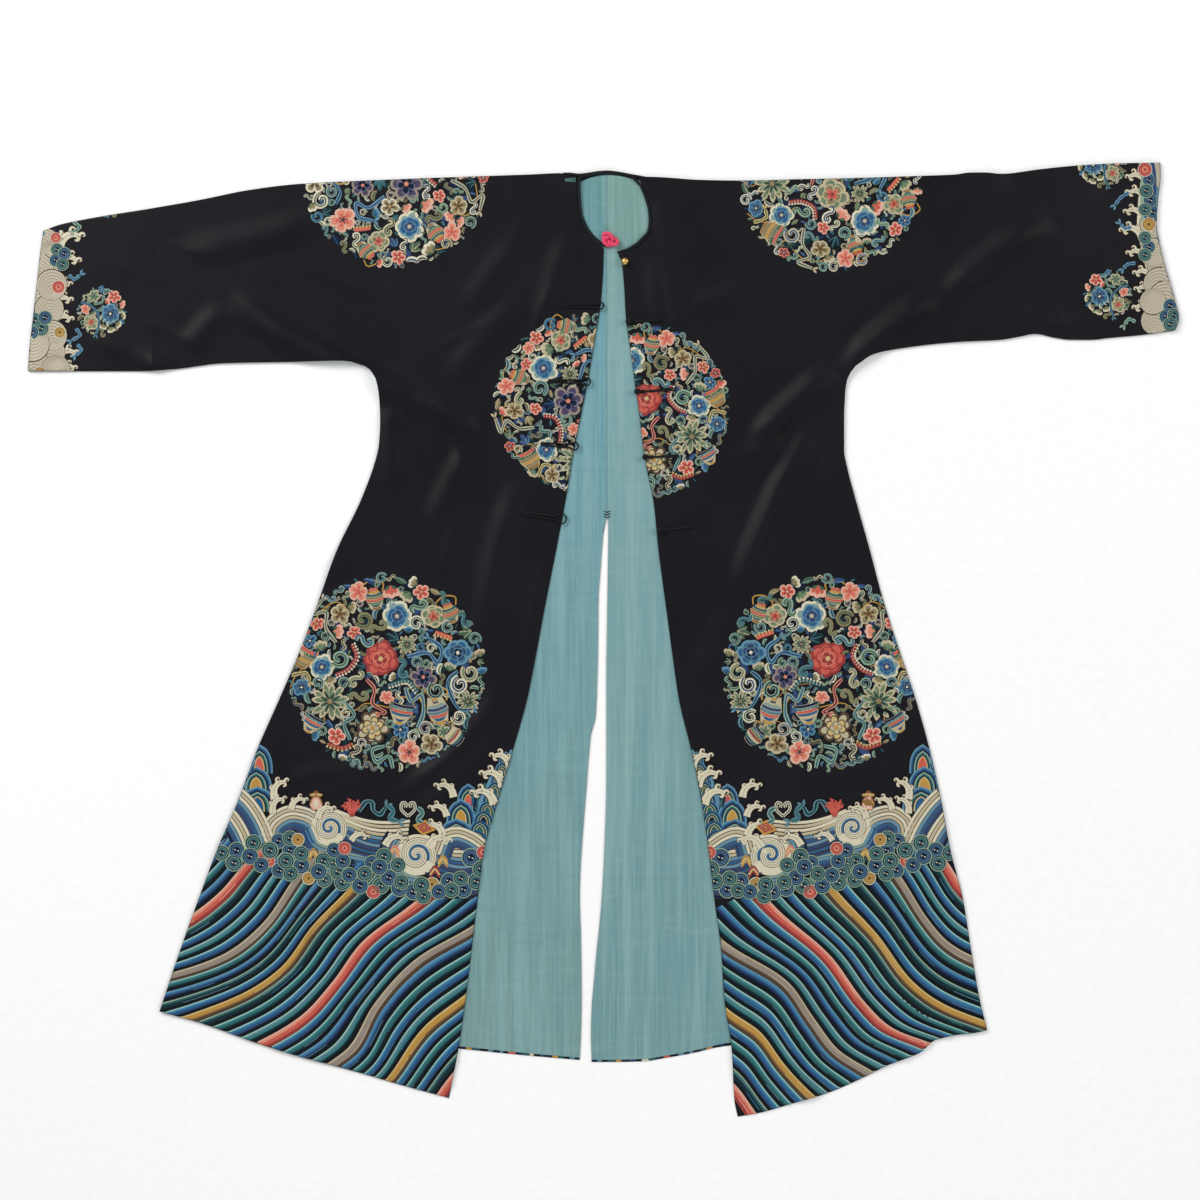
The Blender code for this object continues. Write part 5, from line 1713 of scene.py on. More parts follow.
# Sea discs: across, drop, radius, kind
SEA_DISCS = [
    (-555, 1008, 13, "blue"), (-530, 997, 13, "teal"), (-535, 1017, 13, "blue"), (-559, 1027, 13, "teal"),
    (-577, 1012, 12, "teal"), (-505, 1008, 13, "teal"), (-492, 994, 12, "blue"), (-475, 990, 12, "teal"),
    (-463, 992, 10, "gold"), (-475, 1008, 12, "blue"), (-458, 1013, 12, "teal"), (-481, 1024, 13, "teal"),
    (-458, 1031, 13, "blue"), (-491, 1038, 12, "blue"), (-474, 1043, 12, "teal"), (-425, 1024, 13, "teal"),
    (-409, 1008, 12, "blue"), (-393, 1005, 10, "coral"), (-409, 1027, 12, "teal"), (-396, 1024, 12, "blue"),
    (-432, 1040, 13, "blue"), (-403, 1040, 13, "teal"), (-423, 1052, 12, "teal"), (-386, 1045, 12, "blue"),
    (-396, 1056, 13, "teal"), (-370, 1061, 13, "blue"), (-363, 1043, 12, "teal"), (-352, 1027, 12, "blue"),
    (-334, 1017, 13, "teal"), (-341, 1033, 13, "blue"), (-313, 1030, 12, "teal"), (-327, 1049, 13, "blue"),
    (-308, 1056, 12, "teal"), (-339, 1061, 13, "teal"), (-311, 1065, 13, "blue"), (-278, 1060, 13, "teal"),
    (-262, 1059, 11, "gold"), (-290, 1070, 13, "blue"), (-275, 1077, 12, "teal"), (-237, 1054, 13, "blue"),
    (-219, 1050, 12, "teal"), (-233, 1068, 12, "teal"), (-204, 1019, 14.5, "blue"), (-186, 1011, 10, "coral"),
    (-189, 1036, 13, "teal"), (-215, 1067, 13, "blue"), (-196, 1055, 13, "teal"), (-518, 1030, 12, "blue"),
    (-507, 1024, 10, "coral"), (-447, 1050, 10, "gold"), (-252, 1070, 12, "blue"), (-350, 1070, 11, "coral"),
]
# Wave crests: across, drop, size, heading in degrees; -1 in the last column turns the crest over
CLAWS = [
    (-489, 909, 11.5, -35, 1), (-491, 934, 10, -30, 1), (-459, 933, 9.5, -10, 1), (-418, 946, 10, -10, 1),
    (-366, 986, 9, 10, 1),
    (-312, 990, 11, 5, 1), (-246, 992, 12, 5, 1), (-246, 912, 11, 192, -1), (-256, 944, 10, 186, -1),
    (-264, 972, 11, 182, -1), (-162, 868, 12, 195, -1), (-176, 894, 13, 190, -1), (-190, 922, 13, 186, -1),
]
SEA_RIBBONS = [
    ("steel", "dark_teal", [(-372, 950), (-362, 936), (-352, 936), (-350, 948), (-340, 954), (-332, 944)]),
    ("steel", "teal", [(-328, 940), (-320, 950), (-326, 960), (-314, 964)]),
    ("frost", "teal", [(-284, 944), (-276, 952), (-284, 962), (-274, 968)]),
]
# A small jar that stands on a crest, as half outlines from its foot up
JAR_SHAPES = [
    ([(5, 11), (8.5, 4), (7, -2), (4.5, -5), (8.5, -7.5), (7.5, -10), (3, -11), (1.5, -13.5)], "amber", 29),
    ([(4.2, 10), (7.5, 4), (6.2, -1.4), (3.6, -4.8), (3.4, -6.4)], "pink", 31),
    ([(7.4, -7.2), (6.6, -9.2), (2, -10)], "straw", 31),
    ([(1.8, 8), (3.4, 2), (1.8, -3)], "ivory", 33),
    ([(1.6, -10.6), (1, -13.2)], "red", 32),
]
# The layers of the sea, from the mountains up to the discs
WAVE_LAYERS = (16, 10, 23)
ROLLER_LAYER, ROLLER_STEP = 5, 8
CREST_LAYER = 29
DISC_LAYER, DISC_STEP = 31, 3
# Wavy lines down the mountains, at the front edge and at the side seam: how many; the drop of the first
# one's head and the step to the next; the drop of their feet; the first one's distance from the edge and
# the step to the next; over which drop they spread; and how far, how fast and how shifted they sway
Rocks = namedtuple("Rocks", "count head head_step foot away away_step spread sway length shift width")
FRONT_ROCKS = Rocks(10, 858, 10, 1010, 3, 5.2, 60, 2.2, 6.5, 0.6, 5.0)
SIDE_ROCKS = Rocks(7, 866, 12, 1000, 2, 5.0, 50, 1.8, 6, 1, 4.8)
ROCKS_SPREAD_FROM = 850
ROCK_THREADS = ["sky", "royal", "mint", "navy", "sky", "teal", "navy", "blue", "mint", "dark_teal"]
# Small lobes one above another at the front edge
EDGE_LOBES = 9
EDGE_LOBE_TOP, EDGE_LOBE_STEP = 884, 14.5
# Small things on the waves, by their places on the wearer's right front
JAR_AT = (-436, 937)
CORAL_AT = (-382, 946)
CORAL_BRANCHES = ((-165, 17), (-140, 15), (-112, 17), (-84, 13), (-55, 17), (-25, 15))
SCROLLS_AT = (-298, 946)
LOZENGES_AT = (-274, 974)
LOZENGES = ((15, "gold"), (13.4, "red"), (9.4, "salmon"), (7.8, "red"), (3.6, "gold"))
CHEVRONS = ((-258, 1036, "red"), (-246, 1020, "gold"), (-440, 1010, "gold"), (-318, 1005, "salmon"))
# The left front's sea is a little narrower than the right one's
SIDE_TO_SIDE = 0.9186


def rock_line(work, rocks, k, edge, way):
    """One wavy line down a mountain, beside an edge of the front."""
    drop = mix(rocks.head + rocks.head_step * k, rocks.foot, np.linspace(0, 1, 30))
    spread = np.clip((drop - ROCKS_SPREAD_FROM) / rocks.spread, 0.25, 1)
    sway = rocks.sway * np.sin(drop / rocks.length + k * rocks.shift)
    away = (rocks.away + rocks.away_step * k) * spread + sway
    work.line(np.column_stack([edge(drop) + way * away, drop]), rocks.width, ROCK_THREADS[k], 2, 0.4)


def jar(work, x, y):
    """A small jar that stands on a crest."""
    for rows, thread, layer in JAR_SHAPES:
        shape = np.array(rows + [(-a, b) for a, b in reversed(rows)])
        work.patch(moved(shape, x, y - 2, 0.0, 1.2), thread, layer, 0.3)


def coral_branches(work, x, y):
    """Branches of coral that spread from one foot, each with three short twigs."""
    for angle, long in CORAL_BRANCHES:
        tip = np.array([math.cos(math.radians(angle)), math.sin(math.radians(angle))]) * long
        branch = curve([(0, 11), (tip[0] * 0.3, 3), tip * 0.6 + (1.5, 0), tip], 9)
        work.line(moved(branch, x, y), np.linspace(6.0, 3.0, 9), "red", CREST_LAYER)
        work.line(moved(branch, x, y), np.linspace(4.4, 1.6, 9), "coral", CREST_LAYER + 2)
        for share, way in ((0.45, 1), (0.6, -1), (0.78, 1)):
            knob = np.array([-tip[1], tip[0]]) / long * 4.2 * way
            twig = curve([tip * share, tip * share + knob], 4)
            work.line(moved(twig, x, y), 2.4, "coral", CREST_LAYER + 1)


def paired_scrolls(work, x, y):
    """Two scrolls that mirror each other on one foot."""
    for way in (-1, 1):
        scroll = curve([(0, 11), (way * 10, 1), (way * 9, -9), (way * 3, -8), (way * 4, -2)], 14)
        work.line(moved(scroll, x, y), 4.6, "ivory", CREST_LAYER)
        work.line(moved(scroll, x, y), 2.2, "dark_teal", CREST_LAYER + 2)


def lozenges(work, x, y):
    """Lozenges of thread one inside another."""
    for size, thread in LOZENGES:
        shape = [(-1.2, 0), (0, -0.8), (1.2, 0), (0, 0.8)]
        work.patch(moved(shape, x, y, 0.2, size), thread, 32 - size / 10)


def sea(work, half):
    """Mountains, rolling waves, crests and sea discs, from the side seam to the front edge."""
    mirror = half is LEFT

    def where(across, drop):
        if not mirror:
            return across, drop
        return half.front_edge(drop) + (RIGHT.front_edge(drop) - across) * SIDE_TO_SIDE, drop

    def heading(angle):
        return math.pi - angle if mirror else angle

    for k in range(FRONT_ROCKS.count):
        rock_line(work, FRONT_ROCKS, k, half.front_edge, half.side)
        if k < SIDE_ROCKS.count:
            rock_line(work, SIDE_ROCKS, k, half.side_edge, -half.side)
    for (spots, threads), layer in zip(WAVES, WAVE_LAYERS):
        crest = curve([where(*spot) for spot in spots], 26)
        ahead = np.gradient(crest, axis=0)
        beside = np.column_stack([-ahead[:, 1], ahead[:, 0]]) / np.hypot(*ahead.T)[:, None]
        below = beside * (-1 if mirror else 1)
        for k, thread in reversed(list(enumerate(threads))):
            outlined_band(work, crest + below * BAND * k, BAND, thread, layer)
    for k in range(EDGE_LOBES):
        drop = EDGE_LOBE_TOP + EDGE_LOBE_STEP * k
        across = half.front_edge(drop) + half.side * mix(3, 13, k / (EDGE_LOBES - 1))
        lobe(work, across, drop, 11 + 0.8 * k, 24, ("navy", "teal")[k % 2], 4 + k)
    for k, (across, drop, half_width, height, core) in enumerate(LOBES):
        lobe(work, *where(across, drop), half_width, height, core, 4 + k % 3 * 4)
    for k, (across, drop, radius, reach, turn) in enumerate(ROLLERS):
        layer = ROLLER_LAYER + ROLLER_STEP * k
        roller(work, *where(across, drop), radius, reach, heading(turn), mirror, layer)
    for across, drop, size, angle, over in CLAWS:
        turn = heading(math.radians(angle))
        claw(work, *where(across, drop), size, turn, (over < 0) != mirror, CREST_LAYER)
    for k, (across, drop, radius, kind) in enumerate(SEA_DISCS):
        disc(work, *where(across, drop), radius, kind, DISC_LAYER + DISC_STEP * (k % 3))
    for edge, body, spots in SEA_RIBBONS:
        ribbon(work, [where(*spot) for spot in spots], 7.5, edge, body, CREST_LAYER)
    jar(work, *where(*JAR_AT))
    coral_branches(work, *where(*CORAL_AT))
    paired_scrolls(work, *where(*SCROLLS_AT))
    lozenges(work, *where(*LOZENGES_AT))
    for x, y, thread in CHEVRONS:
        for k, name in enumerate((thread, "straw", thread)):
            chevron = curve([(-7, 5), (0, -4), (7, 5)], 7)
            work.line(moved(chevron, *where(x, y + 4 * k)), 3.0, name, CREST_LAYER)


# The cuffs. Discs and scales: across, drop, radius, kind. Crests: across, drop, size, heading, way
RIGHT_CUFF_DISCS = [
    (-850, 96, 24, "scale"), (-836, 120, 22, "scale"), (-856, 138, 25, "scale"), (-832, 160, 21, "scale"),
    (-856, 180, 26, "scale"), (-836, 196, 20, "scale"), (-832, 236, 21, "scale"), (-862, 250, 24, "scale"),
    (-836, 262, 22, "scale"), (-860, 284, 24, "scale"), (-826, 288, 20, "scale"), (-826, 90, 8, "coral"),
    (-824, 108, 10, "teal"), (-813, 114, 10, "blue"), (-826, 124, 10, "blue"), (-816, 130, 10, "teal"),
    (-858, 214, 12, "teal"), (-842, 210, 11, "blue"), (-848, 226, 12, "teal"), (-862, 232, 11, "blue"),
    (-822, 164, 10, "coral"), (-820, 232, 9, "gold"), (-850, 292, 9, "gold"),
]
RIGHT_CUFF_CLAWS = [
    (-800, 88, 17, -10, 1), (-803, 122, 15, 5, 1), (-812, 158, 11, 0, 1), (-813, 182, 13, 0, 1),
    (-812, 210, 13, 5, 1), (-806, 262, 14, -5, 1), (-806, 284, 12, 0, 1),
]
LEFT_CUFF_DISCS = [
    (836, -8, 22, "scale"), (820, 70, 20, "scale"), (832, 96, 23, "scale"), (820, 112, 20, "scale"),
    (836, 134, 24, "scale"), (828, 158, 22, "scale"), (838, 180, 24, "scale"), (818, 186, 18, "scale"),
    (822, 214, 20, "scale"), (806, -12, 11, "coral"), (812, 4, 10, "blue"), (808, 20, 11, "teal"),
    (814, 34, 11, "blue"), (806, 48, 10, "teal"), (818, 52, 10, "blue"), (806, 90, 10, "teal"),
    (812, 104, 10, "blue"), (806, 116, 10, "teal"), (844, 192, 11, "blue"), (850, 206, 11, "teal"),
    (838, 208, 11, "blue"), (844, 220, 11, "teal"), (812, 70, 11, "gold"),
]
LEFT_CUFF_CLAWS = [
    (790, -2, 13, 180, -1), (790, 22, 13, 185, -1), (786, 50, 12, 180, -1), (782, 78, 14, 180, -1),
    (790, 112, 12, 180, -1), (800, 142, 12, 180, -1), (802, 166, 12, 180, -1), (800, 194, 13, 180, -1),
]
# Ribbons on the cuffs: edge and body threads, then the places that they pass
CUFF_RIBBONS = {
    "right": [("sky", "royal", [(-807, 146), (-798, 152), (-790, 146)]),
              ("sky", "royal", [(-796, 226), (-790, 236), (-802, 244)]),
              ("mint", "teal", [(-800, 66), (-790, 74), (-798, 80)]),
              ("sky", "blue", [(-794, 250), (-788, 258), (-796, 266)])],
    "left": [("sky", "royal", [(782, 22), (770, 30), (762, 40)]),
             ("sky", "royal", [(792, 128), (780, 130), (774, 136)]),
             ("mint", "teal", [(792, 216), (782, 212), (776, 220)]),
             ("sky", "blue", [(786, 74), (776, 76), (770, 70)])],
}
# Lines of thread along the edge of each cuff, and those that cross the upper part of the left one
EDGE_LINES = ("sky", "teal", "mint", "navy", "ivory")
TOP_LINES = ("royal", "sky", "coral", "blue", "mint")
TOP_LINES_FROM, TOP_LINES_TO = -24, 66
SCALE_SIZE = 1.12
CUFF_CREST_SIZE = 0.85


def cuff(work, half, discs, crests, ribbons):
    """The sea along the edge of a cuff: scales and discs, crests turned inwards and small stripes."""
    drop = np.linspace(half.cuff.at[0], half.cuff.at[-1], 60)
    for k, thread in enumerate(EDGE_LINES):
        work.line(np.column_stack([half.cuff(drop) - half.side * (3 + 6 * k), drop]), 5.4, thread, 1, 0.3)
    for across, place, size, angle, over in crests:
        claw(work, across, place, size * CUFF_CREST_SIZE, math.radians(angle), over < 0, 5)
    for k, (across, place, radius, kind) in enumerate(discs):
        if kind == "scale":
            lean = (half.side * -0.15, (0.75, -0.7, 0.8)[k % 3])
            disc(work, across, place, radius * SCALE_SIZE, kind, 10 + 4 * (k % 4), lean)
        else:
            disc(work, across, place, radius, kind, 27 + 4 * (k % 2))
    if half is LEFT:
        drop = np.linspace(TOP_LINES_FROM, TOP_LINES_TO, 24)
        for k, thread in enumerate(TOP_LINES):
            across = half.cuff(drop) - (2.5 + 4.6 * k) - 0.1 * (TOP_LINES_TO - drop)
            work.line(np.column_stack([across, drop]), 4.4, thread, 25, 0.3)
    for edge, body, spots in ribbons:
        ribbon(work, spots, 5.5, edge, body, 9)


# Designs of the large roundels: seed, the turn of the main motifs in degrees, and flowers to exchange
DESIGNS = {
    "skirt": (11, 0, ()),
    "chest": (23, 58, (("red_peony", "lilac_cloud"), ("lilac_cloud", "coral_bloom"),
                       ("deep_peony", "plum_cream"))),
    "right_shoulder": (31, 205, (("red_peony", "lilac_cloud"), ("deep_peony", "plum_pink"),
                                 ("green_mum", "white_bloom"))),
    "left_shoulder": (47, 150, (("red_peony", "green_peony"), ("cream_mum", "plum_cream"),
                                ("lilac_cloud", "red_peony"))),
}
# Roundels: name, half, across, drop, radius, design, and whether it is turned over
ROUNDELS = [
    ("shoulder_right", RIGHT, -317, -5, 143, "right_shoulder", False),
    ("shoulder_left", LEFT, 335, 4, 140, "left_shoulder", True),
    ("chest_right", RIGHT, -37.5, 338, 137, "chest", False),
    ("chest_left", LEFT, 51, 350, 136, "skirt", True),
    ("skirt_right", RIGHT, -330, 742.5, 152, "skirt", False),
    ("skirt_left", LEFT, 322, 742, 152, "skirt", True),
]
# Small roundels, which share one design: name, half, across, drop, radius, and whether it is turned over
CUFF_ROUNDELS = [
    ("cuff_right", RIGHT, -757.5, 201, 39, False), ("cuff_left", LEFT, 751, 175, 38, True),
    ("cuff_top_right", RIGHT, -741, 22, 38, False), ("cuff_top_left", LEFT, 742, -22, 39, True),
]
# The main motifs of a small roundel, as calls in the form that roundel takes
SMALL_ROUNDEL = [
    ("flower", "deep_peony", 0.34, -0.08, 0.38, 0.4), ("flower", "coral_bloom", 0.48, 0.58, 0.26, 1.0),
    ("flower", "green_peony", -0.4, -0.4, 0.3, 0.2), ("flower", "sage_bloom", -0.3, 0.6, 0.26, 2.0),
    ("flower", "pink_bloom", -0.62, 0.1, 0.2, 0.1), ("flower", "blue_bloom", 0.0, 0.86, 0.14, 0.1),
    ("ribbon", "steel", "royal",
     [(-0.8, 0.36), (-0.4, 0.22), (-0.14, -0.1), (-0.1, -0.5), (-0.2, -0.86)], 0.11),
    ("ribbon", "mint", "teal", [(-0.3, 0.3), (0.0, 0.36), (0.1, 0.62)], 0.1),
    ("bud", 0.06, -0.56, 0.15, -1.9, 2), ("bud", 0.36, -0.68, 0.15, -1.2, 2),
    ("bud", 0.64, -0.48, 0.15, -0.6, 2), ("bud", 0.82, -0.16, 0.13, 0.1, 2),
]


def small_roundel_design(seed):
    """A small roundel: its main motifs, then buds, beans and scrolls in what is left."""
    draw = random.Random(seed)
    taken = [(call[2], call[3], call[4] * 0.92) for call in SMALL_ROUNDEL if call[0] == "flower"]
    taken += [(x, y, 0.08) for call in SMALL_ROUNDEL if call[0] == "ribbon" for x, y in curve(call[3], 7)]
    taken += [(call[1], call[2], call[3]) for call in SMALL_ROUNDEL if call[0] == "bud"]
    calls = list(SMALL_ROUNDEL)
    for size, tries in ((0.16, 500), (0.13, 900), (0.1, 1500), (0.08, 1500)):
        for _ in range(tries):
            angle, reach = draw.uniform(0, 2 * math.pi), math.sqrt(draw.random()) * (1 - size)
            x, y = reach * math.cos(angle), reach * math.sin(angle)
            if all(math.hypot(x - a, y - b) > (size + c) * 0.8 for a, b, c in taken):
                kind = draw.choice(("bud", "bean", "bean", "scroll"))
                calls.append((kind, x, y, size, draw.uniform(0, 6.3), draw.randrange(99)))
                taken.append((x, y, size))
    return calls


def embroidery():
    """All the embroidery: roundels, sea, stripes and cuffs."""
    large = {name: roundel_design(*row) for name, row in DESIGNS.items()}
    small = small_roundel_design(5)
    for name, half, across, drop, radius, design, flip in ROUNDELS:
        work = on_front(half)
        roundel(work, across, drop, radius, flip, large[design])
        work.piece(f"roundel_{name}")
    for name, half, across, drop, radius, flip in CUFF_ROUNDELS:
        work = on_sleeve_end(half)
        roundel(work, across, drop, radius, flip, small)
        work.piece(f"roundel_{name}")
    for name, half, guides in (("right", RIGHT, RIGHT_GUIDES), ("left", LEFT, LEFT_GUIDES)):
        work = on_front(half)
        water_stripes(work, guides, 3 + half.side)
        work.piece(f"stripes_{name}")
        work = on_front(half)
        sea(work, half)
        work.piece(f"sea_{name}")
    for name, half, discs, crests in (("right", RIGHT, RIGHT_CUFF_DISCS, RIGHT_CUFF_CLAWS),
                                      ("left", LEFT, LEFT_CUFF_DISCS, LEFT_CUFF_CLAWS)):
        work = on_sleeve_end(half)
        cuff(work, half, discs, crests, CUFF_RIBBONS[name])
        work.piece(f"cuff_sea_{name}")
        hem_line(name, half)


# Trimmings: the radii of their solids, and how high the cords lie above the satin
CORD_RADIUS = 1.3
KNOT_RADIUS = 4.4
BINDING_RADIUS = 2.2
BACK_BINDING_RADIUS = 2.6
BALL_RADIUS = 6.0
PINK_CORD_RADIUS = 2.2
ON_EMBROIDERY = 1.2
# The ball and the pink cord are drawn this much larger than their solids
BALL_SCALE = 1.07
PINK_SCALE = 1.3
STITCH_SPACING = 3.2
# Where a front's binding comes in from the shoulder, as distance from the centre seam and drop
BINDING_LEAD_IN = ((37.0, -2.0), (41.5, 2.5))
# The line of the back's binding, and its radius at places across
BACK_CROWN = [(-66, -6.6), (-54, -5.6), (-42, -3.6), (-26, -4.6), (-13, -6.6), (0, -7.6), (13, -6.8),
              (26, -5.0), (40, -2.6), (50, -1.6), (58, -0.6)]
BACK_THICKNESS = [(-66, 1.0), (-54, 1.9), (-40, 2.6), (-22, 3.3), (0, 3.1), (24, 2.5), (42, 2.1), (58, 1.0)]


def along(path, step):
    """A path of places with heights, divided evenly."""
    path = np.asarray(path, float)
    reach = np.concatenate(([0.0], np.cumsum(np.linalg.norm(np.diff(path, axis=0), axis=1))))
    at = np.linspace(0, reach[-1], max(3, int(reach[-1] / step)))
    return np.column_stack([np.interp(at, reach, path[:, k]) for k in range(3)]), at


def frames(path):
    """The direction of a path, and two directions across it, at each of its places."""
    ahead = np.gradient(path, axis=0)
    ahead /= np.maximum(np.linalg.norm(ahead, axis=1), 1e-9)[:, None]
    side = np.cross(ahead, [0, 0, 1.0])
    side /= np.maximum(np.linalg.norm(side, axis=1), 1e-9)[:, None]
    return ahead, side, np.cross(side, ahead)


def tube(path, radius, sides):
    """Places and quads of a round tube with closed ends."""
    path = np.asarray(path, float)
    _, side, up = frames(path)
    t = np.linspace(0, 2 * math.pi, sides, endpoint=False)
    radius = np.broadcast_to(radius, len(path))[:, None, None]
    ring = side[:, None] * np.cos(t)[None, :, None] + up[:, None] * np.sin(t)[None, :, None]
    places = (path[:, None] + ring * radius).reshape(-1, 3)
    index = np.arange(len(path) * sides).reshape(len(path), sides)
    after = np.roll(index, -1, axis=1)
    quads = np.stack([index[:-1], after[:-1], after[1:], index[1:]], -1).reshape(-1, 4)
    return places, [*quads.tolist(), index[0][::-1].tolist(), index[-1].tolist()]


def gathered(parts):
    """Several lots of places and faces as one."""
    places, faces, start = [], [], 0
    for spots, rows in parts:
        places.append(spots)
        faces += [[start + v for v in row] for row in rows]
        start += len(spots)
    return np.concatenate(places), faces


def twisted(path, radius, strands=3, pitch=5.0, step=0.7):
    """A cord of twisted strands along a path."""
    path, at = along(path, step)
    _, side, up = frames(path)
    parts = []
    for k in range(strands):
        t = 2 * math.pi * (at / pitch + k / strands)
        centre = path + (side * np.cos(t)[:, None] + up * np.sin(t)[:, None]) * radius * 0.48
        parts.append(tube(centre, radius * 0.55, 6))
    return gathered(parts)


def hairpin(closure, radius):
    """The plan of a doubled cord: out from its root, round an eye and back beside itself."""
    root = np.array([closure.root_across, closure.root_drop], float)
    tip = np.array([closure.tip_across, closure.tip_drop], float)
    length = math.dist(root, tip)
    ahead = (tip - root) / length
    beside = np.array([-ahead[1], ahead[0]])
    apart = radius + SEAM_GAP / 2
    eye = closure.eye_width / 2 + radius
    neck_at = length - 3.2 * eye
    out = [(s, apart) for s in (0.0, neck_at * 0.33, neck_at * 0.66, neck_at)]
    out.append((length - 2.1 * eye, eye * 0.8))
    half_turn = np.linspace(math.pi / 2, -math.pi / 2, 9)
    arc = [(length - eye + eye * math.cos(t), eye * math.sin(t)) for t in half_turn]
    rows = out + arc + [(s, -w) for s, w in reversed(out)]
    plan = [root + ahead * s + beside * w for s, w in rows]
    bend = 1.2 * np.sin(np.linspace(0, 2 * math.pi, len(plan)))
    return curve(np.array(plan) + np.column_stack([np.zeros(len(plan)), bend]), 110)


def laid_on_front(plan, half, radius, above):
    """A path for a cord that lies on the front and its embroidery."""
    top = front_top(half, plan[:, 0], plan[:, 1])
    return np.column_stack([plan, top + above + radius * 1.04])


def knot_path(radius, height, across, drop):
    """A cord wound over and under round a ball, three times round with four crossings."""
    leads, bights = 3, 4
    t = np.linspace(0, 2 * math.pi * leads, 150)
    tilt = 0.92 * np.sin(bights * t / leads)
    reach = radius * (1 + 0.1 * np.cos(2 * bights * t / leads))
    return np.column_stack([
        across + reach * np.cos(t) * np.cos(tilt),
        drop + reach * np.sin(t) * np.cos(tilt),
        height + reach * np.sin(tilt),
    ])


def ball_mesh(across, drop, height, radius, ribs=0, depth=0.0, around=36, down=20):
    """A ball, with ribs from pole to pole where it has any."""
    u = np.linspace(0, 2 * math.pi, around, endpoint=False)[None, :]
    v = np.linspace(-math.pi / 2 + 0.06, math.pi / 2 - 0.06, down)[:, None]
    ribbing = depth * (0.5 + 0.5 * np.cos(ribs * u)) * np.cos(v)
    waist = depth * np.exp(-(v / 0.12) ** 2)
    reach = radius * (1 - ribbing - waist)
    places = np.stack([across + reach * np.cos(v) * np.cos(u), drop + reach * np.cos(v) * np.sin(u),
                       height + reach * np.sin(v) + 0 * u], -1).reshape(-1, 3)
    index = np.arange(around * down).reshape(down, around)
    after = np.roll(index, -1, axis=1)
    quads = np.stack([index[:-1], index[1:], after[1:], after[:-1]], -1).reshape(-1, 4)
    return places, [*quads.tolist(), index[0].tolist(), index[-1][::-1].tolist()]


def middle_of(node):
    """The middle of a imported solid, as across, drop and height."""
    x, y, z = ((low + high) / 2 / MM for low, high in zip(*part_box(node)))
    return x - SHIFT_ACROSS, SHIFT_DROP - y, z


def cord_loops(material):
    """The loops on the wearer's right front."""
    for number, closure in enumerate(LOOPS, 1):
        path = laid_on_front(hairpin(closure, CORD_RADIUS), RIGHT, CORD_RADIUS, ON_EMBROIDERY)
        piece = new_piece(f"cord_loop_{number}", *twisted(path, CORD_RADIUS), [material], "black_cord")
        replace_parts(piece, f"loop_{number}")


def knotted_buttons(cord, knotted):
    """The doubled cords on the wearer's left front, each with its knot: a small core wound with cord."""
    for number, closure in enumerate(BUTTONS, 1):
        path = laid_on_front(hairpin(closure, CORD_RADIUS), LEFT, CORD_RADIUS, ON_EMBROIDERY)
        piece = new_piece(f"doubled_cord_{number}", *twisted(path, CORD_RADIUS), [cord], "black_cord")
        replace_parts(piece, f"button_cord_{number}")
        across, drop = closure.tip_across - KNOT_RADIUS - SEAM_GAP, closure.tip_drop
        height = float(front_top(LEFT, across, drop)) + KNOT_RADIUS + ON_EMBROIDERY
        parts = [tube(knot_path(KNOT_RADIUS - 0.9, height, across, drop), 1.05, 7),
                 ball_mesh(across, drop, height, KNOT_RADIUS - 1.6, around=14, down=8)]
        piece = new_piece(f"cord_knot_{number}", *gathered(parts), [knotted], "black_cord")
        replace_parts(piece, f"knot_button_{number}")


def binding_stitches(path):
    """Short stitches across the top of a binding, spaced along it."""
    places, _ = along(path, STITCH_SPACING)
    _, side, _ = frames(places)
    low, high = BINDING_RADIUS * 0.72, BINDING_RADIUS
    for spot, across in zip(places[1:-1], side[1:-1]):
        ends = np.array([spot - across * 1.5, spot, spot + across * 1.5])
        ends[:, 2] += np.array([low, high, low])
        yield tube(ends, 0.22, 4)


def front_bindings(material):
    """The rolled binding along the neck edge of each front, led in from the shoulder."""
    away = BINDING_RADIUS + SEAM_GAP
    level = LINING_LEVEL + LINING_WALL + SEAM_GAP + BINDING_RADIUS
    for name, half in (("right", RIGHT), ("left", LEFT)):
        edge = through(half.neck)(np.linspace(0.1, 1, 60))
        ahead = np.gradient(edge, axis=0)
        into = np.column_stack([ahead[:, 1], -ahead[:, 0]]) / np.hypot(*ahead.T)[:, None] * -half.side
        lead_in = [(half.side * across, drop) for across, drop in BINDING_LEAD_IN]
        plan = np.concatenate([lead_in, edge + into * away])
        path = np.column_stack([curve(plan, 90), np.full(90, level)])
        parts = [tube(path, BINDING_RADIUS, 14), *binding_stitches(path)]
        piece = new_piece(f"rolled_binding_{name}", *gathered(parts), [material], "black_binding")
        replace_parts(piece, f"neck_binding_{name}")


def back_binding(material):
    """The binding along the back of the neck, thickest behind and thin at its ends."""
    rise = BACK_BINDING_RADIUS + SEAM_GAP - BACK_INSET
    line = curve(BACK_CROWN, 70)
    reach, thickness = zip(*BACK_THICKNESS)
    thick = np.interp(line[:, 0], reach, thickness)
    path = np.column_stack([line[:, 0], line[:, 1] - rise, thick])
    piece = new_piece("rolled_binding_back", *tube(path, thick, 14), [material], "black_binding")
    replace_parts(piece, "neck_binding_back")


